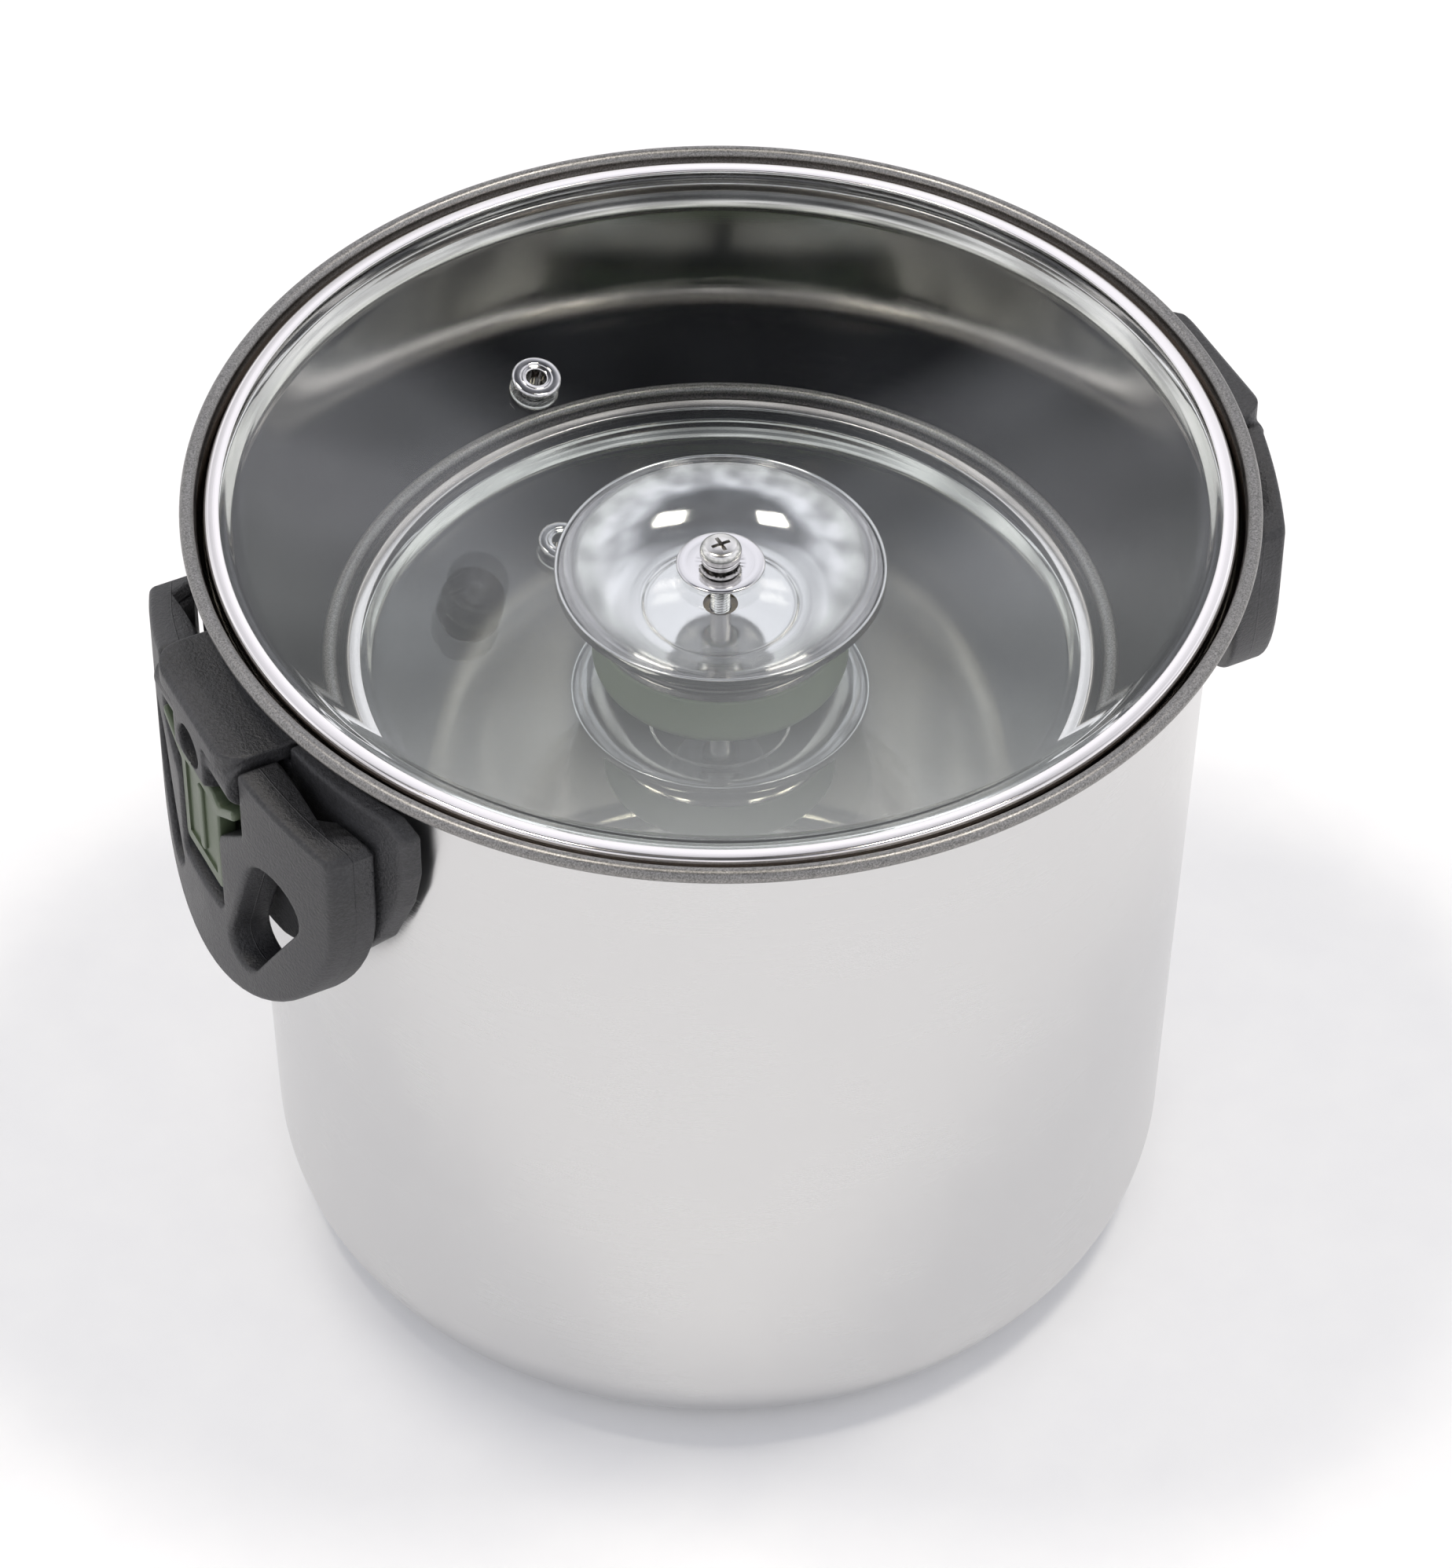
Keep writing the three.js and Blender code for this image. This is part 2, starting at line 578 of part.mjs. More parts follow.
  const mountCross = box(seatX + 2.2, seatX + 6, -2.4, 2.4, screwZ - 0.5, screwZ + 0.5)
    .add(box(seatX + 2.2, seatX + 6, -0.5, 0.5, screwZ - 2.4, screwZ + 2.4));
  const mountScrew = rodAlongX(MOUNT_SCREW_R, plateR + 1.6, seatX + 1, 0, screwZ, 16)
    .add(rodAlongX(MOUNT_HEAD_R, seatX + GAP, seatX + 3.4, 0, screwZ, 20))
    .subtract(mountCross);
  add('mount_screw', mountScrew, 'steel');

  // folding handle: curved D plate with two arms, a latch window and two finger slots
  const half = [
    [armY, topZ - 14.2],
    [HANDLE_HALF_W - 1.5, endZ + 0.6],
    [HANDLE_HALF_W, endZ - 1],
    ...arc(0, 0, 1, 0, 90, 9).slice(0, -1).map(
      ([c, s]) => [HANDLE_HALF_W * c, ovalZ - ovalH * s]),
  ];
  const outline = [...half, [0, topZ - HANDLE_DROP], ...mirrored(half),
    [-armY, topZ - 34], [-LATCH_HALF_W - 0.8, topZ - 42.5], [LATCH_HALF_W + 0.8, topZ - 42.5],
    [armY, topZ - 34]];
  const slot = teardrop(30.2, topZ - 47.5, 8.5, 18.6, topZ - 71.5, 5.5);
  const windowY = LATCH_HALF_W + 0.4;
  const floorZ = topZ - 66;
  const latchWindow = rounded([[-windowY, floorZ, 2], [windowY, floorZ, 2],
    [windowY, topZ - 41, 0], [-windowY, topZ - 41, 0]]);
  const railX0 = HANDLE_FACE_X - 9;
  const railX1 = HANDLE_FACE_X - 5.8;
  const railY = windowY + 2.1;
  const bent = shifted(shell(HANDLE_BEND_R - HANDLE_T, HANDLE_BEND_R),
    HANDLE_FACE_X - HANDLE_BEND_R, 0, 0);
  const armBack = box(BEHIND_X, HINGE_X, -armY - 40, armY + 40, hingeZ, topZ)
    .subtract(rodAlongY(ARM_BACK_R, -armY - 41, armY + 41, HINGE_X, hingeZ, 48));
  let handle = prismX(outline, BEHIND_X, FRONT_X)
    .intersect(bent)
    .subtract(prismX(slot, BEHIND_X - 1, FRONT_X + 1))
    .subtract(prismX(mirrored(slot), BEHIND_X - 1, FRONT_X + 1))
    .subtract(prismX(latchWindow, BEHIND_X - 1, FRONT_X + 1))
    .subtract(box(railX0, railX1, -railY, railY, floorZ, topZ - 38))
    .subtract(armBack);
  const tipY = armY + 5;
  for (const side of [-1, 1]) {
    const from = side > 0 ? armY - 2 : -tipY - GAP;
    const to = side > 0 ? tipY + GAP : -armY + 2;
    handle = handle.subtract(rodAlongY(PIN_R + 0.06, from, to, HINGE_X, hingeZ, 28));
  }
  add('handle', handle, 'black');

  // hinge pins, fixed in the block, turning in the arms
  for (const side of [-1, 1]) {
    const from = side > 0 ? innerPinY : -tipY;
    const to = side > 0 ? tipY : -innerPinY;
    add(side > 0 ? 'hinge_pin_a' : 'hinge_pin_b',
      rodAlongY(PIN_R, from, to, HINGE_X, hingeZ, 28), 'steel');
  }

  // green latch: face plate with two ears, rear rails, spring pocket
  const latchTop = hingeZ - BOSS_R - 0.5;
  const latchZ = topZ - 61;
  const earZ = hingeZ - KNUCKLE_R - 1.2;
  const faceHalf = [
    [LATCH_HALF_W, topZ - 37.4],
    [LATCH_HALF_W + 9, earZ - 3],
    [LATCH_HALF_W + 9, earZ],
    [LATCH_HALF_W + 0.6, topZ - 34],
    [BOSS_HALF_W, latchTop],
  ];
  const face = [[-LATCH_HALF_W, latchZ], [LATCH_HALF_W, latchZ], ...faceHalf,
    ...mirrored(faceHalf)];
  const rails = box(railX0 + 0.3, railX1 - 0.3, -railY + 0.4, railY - 0.4, latchZ + 1,
    topZ - 44);
  const spine = box(railX0 + 0.3, railX1 + 1, -8, 8, latchZ, latchTop - 0.4);
  const pocketX = HANDLE_FACE_X - 5.1;
  const latchFaceX = HANDLE_FACE_X - 1.1;
  const pocket = shifted(rod(2.7, 16, 20), pocketX, 0, latchZ - 1);
  add('latch', prismX(face, railX1 + 0.3, latchFaceX).add(rails).add(spine).subtract(pocket),
    'green');

  // latch spring: open coil between the window floor and the pocket roof
  const coilZ0 = floorZ + 0.6;
  const coilZ1 = latchZ + 15 - 0.6;
  const turns = 5;
  const coil = [];
  for (let i = 0; i <= turns * 8; i += 1) {
    const a = i / 8 * TURN;
    const z = coilZ0 + (coilZ1 - coilZ0) * i / (turns * 8);
    coil.push(new THREE.Vector3(pocketX + 2 * Math.cos(a), 2 * Math.sin(a), z));
  }
  const wire = new THREE.Shape(arc(0, 0, 0.3, 0, 270, 3).map(([x, y]) => new THREE.Vector2(x, y)));
  add('latch_spring', toSolid(new THREE.ExtrudeGeometry(wire, {
    steps: turns * 8,
    bevelEnabled: false,
    extrudePath: new THREE.CatmullRomCurve3(coil),
  })), 'spring');
};

handleSet('right', new THREE.Matrix4());
handleSet('left', new THREE.Matrix4().makeRotationZ(Math.PI));

export default group;
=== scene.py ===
import math

import bmesh
import bpy
from mathutils import Matrix, Vector


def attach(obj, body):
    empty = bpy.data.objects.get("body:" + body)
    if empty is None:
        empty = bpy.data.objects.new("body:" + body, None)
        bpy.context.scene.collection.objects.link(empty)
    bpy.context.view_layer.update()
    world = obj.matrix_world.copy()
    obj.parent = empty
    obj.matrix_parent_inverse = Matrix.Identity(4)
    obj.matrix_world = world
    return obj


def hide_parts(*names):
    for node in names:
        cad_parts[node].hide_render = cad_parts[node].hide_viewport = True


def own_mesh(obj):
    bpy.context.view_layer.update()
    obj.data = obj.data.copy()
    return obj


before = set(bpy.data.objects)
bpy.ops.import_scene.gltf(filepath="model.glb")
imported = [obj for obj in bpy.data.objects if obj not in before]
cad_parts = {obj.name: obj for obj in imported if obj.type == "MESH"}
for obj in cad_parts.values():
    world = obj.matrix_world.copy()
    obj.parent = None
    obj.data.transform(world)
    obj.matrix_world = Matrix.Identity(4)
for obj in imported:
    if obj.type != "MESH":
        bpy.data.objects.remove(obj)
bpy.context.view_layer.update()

MM = 0.001
TURN = 2 * math.pi
GAP = 0.3  # clearance between neighbouring pieces

# ---- sizes shared with the CAD part -----------------------------------------------------
POT_HEIGHT = 206.0
LIP_R = 120.0
WALL_R = 110.6
POT_TAPER = 3.9
CORNER_R = 21.0
SHEET = 0.8
BASE_T = 1.4
LIP_BAND = 3.4
SEAT_DEPTH = 7.4
INNER_LIP_R = 91.5
INNER_WALL_R = 82.1
INNER_TOP_Z = 155.3
GLASS_T = 4.0
BAND_SHEET = 0.6
BAND_FACE = 3.9
LID_SAG = 24.3
INNER_LID_SAG = 14.3
DISH_R = 37.8
INNER_DISH_R = 35.0
DISH_DEPTH = 12.0
DISH_SHEET = 0.6
COLLAR_H = 3.0
GRIP_H = 15.3
SCREW_R = 2.4
HEAD_R = 4.75
SCREW_HEAD_H = 3.5
SPLIT_WASHER_T = 1.3
CUP_WASHER_T = 1.0
VENT_R = 5.75
VENT_HOLE_R = 2.3
GUARD_OUT_R = 116.5
GUARD_T = 5.0
HANDLE_FACE_X = 129.0
HANDLE_BEND_R = 115.0
HANDLE_CENTRE_X = HANDLE_FACE_X - HANDLE_BEND_R
HANDLE_T = 10.0
HANDLE_HALF_W = 49.0
HANDLE_DROP = 90.0
BLOCK_HALF_W = 20.2
HINGE_X = HANDLE_FACE_X - 6
HINGE_Z = POT_HEIGHT - 20.5
KNUCKLE_R = 6.2
ARM_BACK_R = 7.6
BOSS_R = 11.0
BOSS_HALF_W = 8.0
LATCH_HALF_W = 10.2
SCREW_Z = POT_HEIGHT - 24
MOUNT_SCREW_R = 1.95
MOUNT_HEAD_R = 4.5
MOUNT_HEAD_H = 3.5


# ---- node helpers -----------------------------------------------------------------------
class Look:
    """One procedural material, built around a Principled shader."""

    def __init__(self, name, **values):
        self.material = bpy.data.materials.new(name)
        self.material.use_nodes = True
        self.tree = self.material.node_tree
        self.shader = self.tree.nodes["Principled BSDF"]
        for key, value in values.items():
            self.shader.inputs[key].default_value = value
        self.place = self.add("ShaderNodeTexCoord").outputs["Object"]

    def add(self, kind, **settings):
        node = self.tree.nodes.new(kind)
        for key, value in settings.items():
            setattr(node, key, value)
        return node

    def link(self, start, end):
        self.tree.links.new(start, end)

    def noise(self, scale, detail=2.0, rough=0.5):
        node = self.add("ShaderNodeTexNoise")
        node.inputs["Scale"].default_value = scale
        node.inputs["Detail"].default_value = detail
        node.inputs["Roughness"].default_value = rough
        self.link(self.place, node.inputs["Vector"])
        return node.outputs["Fac"]

    def ranged(self, value, low, high, start=0.3, end=0.7):
        node = self.add("ShaderNodeMapRange")
        node.inputs["From Min"].default_value = start
        node.inputs["From Max"].default_value = end
        node.inputs["To Min"].default_value = low
        node.inputs["To Max"].default_value = high
        self.link(value, node.inputs["Value"])
        return node.outputs["Result"]

    def math(self, operation, a, b=None):
        node = self.add("ShaderNodeMath", operation=operation)
        for socket, value in zip(node.inputs, (a, b)):
            if value is None:
                continue
            if isinstance(value, (int, float)):
                socket.default_value = value
            else:
                self.link(value, socket)
        return node.outputs[0]

    def ramp(self, value, *stops):
        node = self.add("ShaderNodeValToRGB")
        for i, (place, colour) in enumerate(stops):
            stop = node.color_ramp.elements[i] if i < 2 else node.color_ramp.elements.new(place)
            stop.position = place
            stop.color = (*colour, 1)
        self.link(value, node.inputs["Fac"])
        return node.outputs["Color"]

    def bump(self, height, distance, strength=1.0, under=None):
        node = self.add("ShaderNodeBump")
        node.inputs["Strength"].default_value = strength
        node.inputs["Distance"].default_value = distance
        self.link(height, node.inputs["Height"])
        if under is not None:
            self.link(under, node.inputs["Normal"])
        return node.outputs["Normal"]

    def set(self, key, value):
        self.link(value, self.shader.inputs[key])

    def radius(self):
        """Distance from the pots' axis, and height, in metres."""
        split = self.add("ShaderNodeSeparateXYZ")
        self.link(self.place, split.inputs["Vector"])
        x2 = self.math("MULTIPLY", split.outputs["X"], split.outputs["X"])
        y2 = self.math("MULTIPLY", split.outputs["Y"], split.outputs["Y"])
        return self.math("SQRT", self.math("ADD", x2, y2)), split.outputs["Z"]


def turned_wave(look, coordinate, scale):
    """Fine random lines along one coordinate, such as rings of a turned surface."""
    join = look.add("ShaderNodeCombineXYZ")
    look.link(look.math("MULTIPLY", coordinate, scale), join.inputs["X"])
    node = look.add("ShaderNodeTexNoise", noise_dimensions="3D")
    node.inputs["Scale"].default_value = 1.0
    node.inputs["Detail"].default_value = 3.0
    look.link(join.outputs["Vector"], node.inputs["Vector"])
    return node.outputs["Fac"]


ACROSS_GRAIN = 0.25  # a quarter turn, so that highlights stretch across the turned grain


def steel(name, colour, rough, grain, along, aniso=0.0, smudge=0.06):
    """Stainless steel with turned grain along z, or along the radius, and faint handling marks."""
    look = Look(name, Metallic=1.0, Anisotropic=aniso)
    look.shader.inputs["Anisotropic Rotation"].default_value = ACROSS_GRAIN
    radius, height = look.radius()
    line = turned_wave(look, height if along == "z" else radius, grain)
    marks = look.noise(38.0, detail=5.0, rough=0.6)
    fine = look.noise(1500.0, detail=1.0)
    tone = look.ramp(
        look.math("ADD", look.math("MULTIPLY", line, 0.6), look.math("MULTIPLY", marks, 0.4)),
        (0.25, [c * 0.94 for c in colour]),
        (0.75, [min(c * 1.04, 1.0) for c in colour]),
    )
    look.set("Base Color", tone)
    total = look.math("ADD", look.ranged(line, -0.03, 0.03), look.ranged(marks, -smudge, smudge))
    look.set("Roughness", look.math("ADD", total, rough))
    grained = look.bump(line, 0.00002, 0.35)
    look.set("Normal", look.bump(fine, 0.00001, 0.15, grained))
    if aniso:
        tangent = look.add("ShaderNodeTangent", direction_type="RADIAL", axis="Z")
        look.link(tangent.outputs["Tangent"], look.shader.inputs["Tangent"])
    return look.material


def blasted_steel():
    """The lip: bead-blasted, greyer and finely speckled."""
    look = Look("lip_blasted_steel", Metallic=1.0)
    speck = look.noise(2600.0, detail=2.0, rough=0.7)
    patch = look.noise(120.0, detail=3.0)
    look.set("Base Color", look.ramp(speck, (0.3, (0.13, 0.127, 0.123)), (0.7, (0.36, 0.35, 0.34))))
    look.set("Roughness", look.ranged(patch, 0.30, 0.42))
    look.set("Normal", look.bump(speck, 0.00006, 0.5))
    return look.material


def moulded(name, dark, light, rough, grain, depth, parting=None):
    """Moulded plastic with a fine spark-eroded texture, soft mottling and paler worn grain."""
    look = Look(name)
    texture = look.noise(grain, detail=3.0, rough=0.65)
    mottle = look.noise(55.0, detail=4.0)
    mix = look.math("ADD", look.math("MULTIPLY", texture, 0.55), look.math("MULTIPLY", mottle, 0.45))
    look.set("Base Color", look.ramp(mix, (0.32, dark), (0.68, light)))
    look.set("Roughness", look.ranged(mottle, rough - 0.06, rough + 0.08))
    normal = look.bump(texture, depth, 0.6)
    if parting:
        split = look.add("ShaderNodeSeparateXYZ")
        look.link(look.place, split.inputs["Vector"])
        x = look.math("ABSOLUTE", split.outputs["X"])
        x = look.math("SUBTRACT", x, HANDLE_CENTRE_X * MM)
        x2 = look.math("MULTIPLY", x, x)
        y2 = look.math("MULTIPLY", split.outputs["Y"], split.outputs["Y"])
        radius = look.math("SQRT", look.math("ADD", x2, y2))
        away = look.math("ABSOLUTE", look.math("SUBTRACT", radius, parting * MM))
        line = look.ranged(away, 1.0, 0.0, 0.00006, 0.00022)
        normal = look.bump(line, 0.00012, 0.9, normal)
    look.set("Normal", normal)
    return look.material


def glass_look():
    """Clear tempered glass with a faint film and a green tint through its thickness."""
    look = Look("tempered_glass", IOR=1.52)
    look.shader.inputs["Transmission Weight"].default_value = 1.0
    look.shader.inputs["Base Color"].default_value = (0.985, 0.995, 0.99, 1)
    film = look.noise(26.0, detail=5.0, rough=0.6)
    look.set("Roughness", look.ranged(film, 0.0, 0.02, 0.45, 0.8))
    look.set("Normal", look.bump(look.noise(14.0, detail=1.0), 0.0003, 0.05))
    tint = look.add("ShaderNodeVolumeAbsorption")
    tint.inputs["Color"].default_value = (0.62, 0.86, 0.74, 1)
    tint.inputs["Density"].default_value = 9.0
    out = look.tree.nodes["Material Output"]
    look.link(tint.outputs["Volume"], out.inputs["Volume"])
    return look.material


def brass_look():
    look = Look("turned_brass", Metallic=1.0)
    line = turned_wave(look, look.radius()[1], 9000.0)
    look.set("Base Color", look.ramp(line, (0.3, (0.14, 0.105, 0.05)), (0.7, (0.22, 0.17, 0.09))))
    look.set("Roughness", look.ranged(line, 0.35, 0.5))
    return look.material


def seal_look():
    look = Look("soft_seal")
    look.shader.inputs["Subsurface Weight"].default_value = 0.2
    speck = look.noise(900.0, detail=2.0)
    look.set("Base Color", look.ramp(speck, (0.3, (0.72, 0.74, 0.71)), (0.7, (0.82, 0.83, 0.8))))
    look.set("Roughness", look.ranged(speck, 0.4, 0.55))
    look.set("Normal", look.bump(speck, 0.00003, 0.4))
    return look.material


STEEL = (0.67, 0.667, 0.665)
BLACK_LOW, BLACK_HIGH = (0.010, 0.010, 0.011), (0.046, 0.046, 0.050)
LOOKS = {
    "wall": steel("satin_wall_steel", STEEL, 0.25, 5200.0, "z", aniso=0.7, smudge=0.03),
    "base": steel("satin_base_steel", STEEL, 0.27, 5200.0, "r", aniso=0.6, smudge=0.03),
    "inside": steel("polished_inner_steel", (0.66, 0.635, 0.595), 0.10, 3800.0, "z", aniso=0.4,
                    smudge=0.03),
    "floor_in": steel("polished_floor_steel", (0.44, 0.425, 0.40), 0.12, 3800.0, "r", aniso=0.3,
                      smudge=0.03),
    # the lip's inner wall: steel darkened and tinted bronze, a painted shade for the gap under the
    # lip and a painted dark bronze reflection
    "rim_in": steel("shaded_rim_steel", (0.25, 0.225, 0.20), 0.16, 3800.0, "z", smudge=0.04),
    "lip": blasted_steel(),
    "band": steel("polished_band_steel", (0.80, 0.77, 0.755), 0.13, 5200.0, "r", smudge=0.04),
    "dish": steel("spun_dish_steel", (0.64, 0.63, 0.632), 0.09, 5200.0, "r", smudge=0.03),
    "small": steel("fastener_steel", (0.70, 0.69, 0.67), 0.22, 9000.0, "z", smudge=0.06),
    "spring": steel("spring_steel", (0.50, 0.50, 0.51), 0.32, 9000.0, "z", smudge=0.06),
    "black": moulded("black_moulded", BLACK_LOW, BLACK_HIGH, 0.43, 1300.0, 0.0006),
    "black_parted": moulded("black_moulded_handle", BLACK_LOW, BLACK_HIGH, 0.43, 1300.0, 0.0006,
                            parting=HANDLE_BEND_R - HANDLE_T / 2),
    "green": moulded("green_moulded_latch", (0.062, 0.082, 0.047), (0.084, 0.108, 0.064), 0.4,
                     2600.0, 0.00006),
    "grip": moulded("green_moulded_grip", (0.35, 0.44, 0.30), (0.43, 0.52, 0.375), 0.42, 2600.0,
                    0.00006),
    "glass": glass_look(),
    "brass": brass_look(),
    "seal": seal_look(),
}


# ---- mesh helpers -----------------------------------------------------------------------
def arc(cx, cy, r, start, end, steps):
    return [
        (cx + r * math.cos(math.radians(start + (end - start) * i / steps)),
         cy + r * math.sin(math.radians(start + (end - start) * i / steps)))
        for i in range(steps + 1)
    ]


def rounded(corners, steps=6):
    """Polygon points with each corner (x, y, radius) rounded."""
    out = []
    for i, (x, y, r) in enumerate(corners):
        if not r:
            out.append((x, y))
            continue
        before, after = corners[i - 1], corners[(i + 1) % len(corners)]
        u = Vector((before[0] - x, before[1] - y)).normalized()
        v = Vector((after[0] - x, after[1] - y)).normalized()
        half = math.acos(max(-1.0, min(1.0, u.dot(v)))) / 2
        if half > math.pi / 2 - 0.01:
            out.append((x, y))
            continue
        back = r / math.tan(half)
        centre = Vector((x, y)) + (u + v).normalized() * (r / math.sin(half))
        a = Vector((x, y)) + u * back - centre
        b = Vector((x, y)) + v * back - centre
        start = math.atan2(a.y, a.x)
        sweep = (math.atan2(b.y, b.x) - start + math.pi) % TURN - math.pi
        for k in range(steps + 1):
            t = start + sweep * k / steps
            out.append((centre.x + r * math.cos(t), centre.y + r * math.sin(t)))
    return out


def mirrored(outline):
    return [(-y, z) for y, z in reversed(outline)]


def smooth(obj, angle=35.0):
    for polygon in obj.data.polygons:
        polygon.use_smooth = True
    obj.data.set_sharp_from_angle(angle=math.radians(angle))
    return obj


def new_object(name, points, faces, look, angle=35.0):
    mesh = bpy.data.meshes.new(name)
    mesh.from_pydata([Vector(p) * MM for p in points], [], faces)
    mesh.update()
    obj = bpy.data.objects.new(name, mesh)
    bpy.context.scene.collection.objects.link(obj)
    obj.data.materials.append(LOOKS[look])
    return smooth(obj, angle)


def finish_piece(obj, body, slot, *nodes):
    """Puts a finished piece on its body in place of the CAD nodes."""
    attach(obj, body)
    if nodes:
        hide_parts(*nodes)
    return obj


def flow(points, steps=6):
    """A smooth curve through (r, z) points."""
    out = []
    last = len(points) - 1
    for i in range(last):
        p0, p1 = points[max(i - 1, 0)], points[i]
        p2, p3 = points[i + 1], points[min(i + 2, last)]
        for k in range(steps):
            t = k / steps
            out.append(tuple(
                0.5 * (2 * b + (c - a) * t + (2 * a - 5 * b + 4 * c - d) * t * t
                       + (3 * b - a - 3 * c + d) * t ** 3)
                for a, b, c, d in zip(p0, p1, p2, p3)))
    return [*out, points[-1]]


def lathe(name, bands, segments=192, seat=None, angle=35.0, thread=None):
    """Revolves (radius, height) points about Z. bands are (look, points), one after another.
    The profile closes on its first point, or starts and ends on the axis."""
    rows = [point for _, points in bands for point in points]
    owner = [i for i, (_, points) in enumerate(bands) for _ in points]
    closed = rows[0][0] > 1e-6
    points, index = [], []
    for r, z in rows:
        if r < 1e-6:
            index.append([len(points)] * segments)
            points.append((0.0, 0.0, z))
            continue
        index.append(list(range(len(points), len(points) + segments)))
        for k in range(segments):
            turn = k / segments
            deep = thread(r, z, turn) if thread else r
            points.append((deep * math.cos(TURN * turn), deep * math.sin(TURN * turn), z))
    faces, owners = [], []
    count = len(rows)
    for i in range(count if closed else count - 1):
        low, high = index[i], index[(i + 1) % count]
        for k in range(segments):
            n = (k + 1) % segments
            face = list(dict.fromkeys((low[k], low[n], high[n], high[k])))
            if len(face) > 2:
                faces.append(face)
                owners.append(owner[i])
    if seat is not None:
        points = [tuple(seat @ Vector(p)) for p in points]
    obj = new_object(name, points, faces, bands[0][0], angle)
    for look, _ in bands[1:]:
        obj.data.materials.append(LOOKS[look])
    for face, slot in zip(obj.data.polygons, owners):
        face.material_index = slot
    shape = bmesh.new()
    shape.from_mesh(obj.data)
    bmesh.ops.recalc_face_normals(shape, faces=shape.faces)
    shape.to_mesh(obj.data)
    shape.free()
    return obj


def bake(obj):
    """Applies the modifiers."""
    graph = bpy.context.evaluated_depsgraph_get()
    graph.update()
    mesh = bpy.data.meshes.new_from_object(obj.evaluated_get(graph))
    obj.modifiers.clear()
    obj.data = mesh


def cut(obj, *cutters):
    """Boolean-subtracts the cutters from obj and removes them."""
    for cutter in cutters:
        modifier = obj.modifiers.new("cut", "BOOLEAN")
        modifier.operation = "DIFFERENCE"
        modifier.solver = "EXACT"
        modifier.object = cutter
    bake(obj)
    for cutter in cutters:
        bpy.data.objects.remove(cutter)
    return smooth(obj)


def block_of(x0, x1, y0, y1, z0, z1, look, seat=None, narrow=1.0):
    """A box, narrowed at its z0 end, used as a cutter or joined to a piece."""
    points = [(x * (narrow if z == z0 else 1), y * (narrow if z == z0 else 1), z)
              for z in (z0, z1) for y in (y0, y1) for x in (x0, x1)]
    if seat is not None:
        points = [tuple(seat @ Vector(p)) for p in points]
    faces = [(0, 2, 3, 1), (4, 5, 7, 6), (0, 1, 5, 4), (2, 6, 7, 3), (0, 4, 6, 2), (1, 3, 7, 5)]
    return new_object("cutter", points, faces, look)


def cross_recess(top, reach, look, seat=None):
    """Cutters for a cross recess that narrows downwards from the top of a screw head."""
    deep = 2.1
    arms = [(reach, 0.55), (0.55, reach)]
    return [block_of(-x, x, -y, y, top - deep, top + 1, look, seat, narrow=0.55)
            for x, y in arms]


def thread_cut(low, high, pitch, depth):
    """Radius function for a helical thread between two heights."""
    def radius(r, z, turn):
        if not low <= z <= high:
            return r
        phase = (z / pitch - turn) % 1.0
        return r - depth * min(abs(phase - 0.5) * 2.6, 1.0)
    return radius


def ring_gap(name, profile, look, opening, rise, segments=120):
    """Sweeps a closed (r, z) profile almost once round, leaving an opening in degrees; the
    far end stands rise higher."""
    count = len(profile)
    points, faces = [], []
    start = math.radians(opening / 2)
    sweep = TURN - 2 * start
    for k in range(segments + 1):
        t = k / segments
        a = start + sweep * t
        points += [(r * math.cos(a), r * math.sin(a), z + rise * t) for r, z in profile]
    for k in range(segments):
        for i in range(count):
            n = (i + 1) % count
            faces.append((k * count + i, k * count + n, (k + 1) * count + n, (k + 1) * count + i))
    faces.append(tuple(range(count))[::-1])
    faces.append(tuple(segments * count + i for i in range(count)))
    return new_object(name, points, faces, look)


def plate(name, outline, holes, look, thick, bevel, bend=False, at=0.0, centre=0.0, strip=2.5):
    """A flat plate with rounded edges from a (y, z) outline, its thickness along +X from at.
    With bend, the plate is curved round x = centre and at is its inner radius."""
    curve = bpy.data.curves.new(name, "CURVE")
    curve.dimensions = "2D"
    curve.fill_mode = "BOTH"
    curve.extrude = thick / 2 - bevel
    curve.bevel_depth = bevel
    curve.bevel_resolution = 3
    curve.offset = -bevel
    for ring in [outline, *holes]:
        spline = curve.splines.new("POLY")
        spline.points.add(len(ring) - 1)
        for point, (y, z) in zip(spline.points, ring):
            point.co = (y, z, 0, 1)
        spline.use_cyclic_u = True
    carrier = bpy.data.objects.new(name, curve)
    bpy.context.scene.collection.objects.link(carrier)
    graph = bpy.context.evaluated_depsgraph_get()
    mesh = bpy.data.meshes.new_from_object(carrier.evaluated_get(graph))
    bpy.data.objects.remove(carrier)
    shape = bmesh.new()
    shape.from_mesh(mesh)
    bmesh.ops.remove_doubles(shape, verts=shape.verts, dist=0.004)
    if bend:
        low = min(v.co.x for v in shape.verts)
        high = max(v.co.x for v in shape.verts)
        steps = int((high - low) / strip)
        for i in range(1, steps):
            bmesh.ops.bisect_plane(
                shape, geom=shape.verts[:] + shape.edges[:] + shape.faces[:],
                plane_co=(low + (high - low) * i / steps, 0, 0), plane_no=(1, 0, 0), dist=1e-4)
    for v in shape.verts:
        y, z, depth = v.co
        r = at + thick / 2 + depth
        x = centre + math.sqrt(r * r - y * y) if bend else r
        v.co = Vector((x, y, z)) * MM
    bmesh.ops.recalc_face_normals(shape, faces=shape.faces)
    shape.to_mesh(mesh)
    shape.free()
    mesh.materials.clear()
    mesh.materials.append(LOOKS[look])
    obj = bpy.data.objects.new(name, mesh)
    bpy.context.scene.collection.objects.link(obj)
    return smooth(obj, 40)


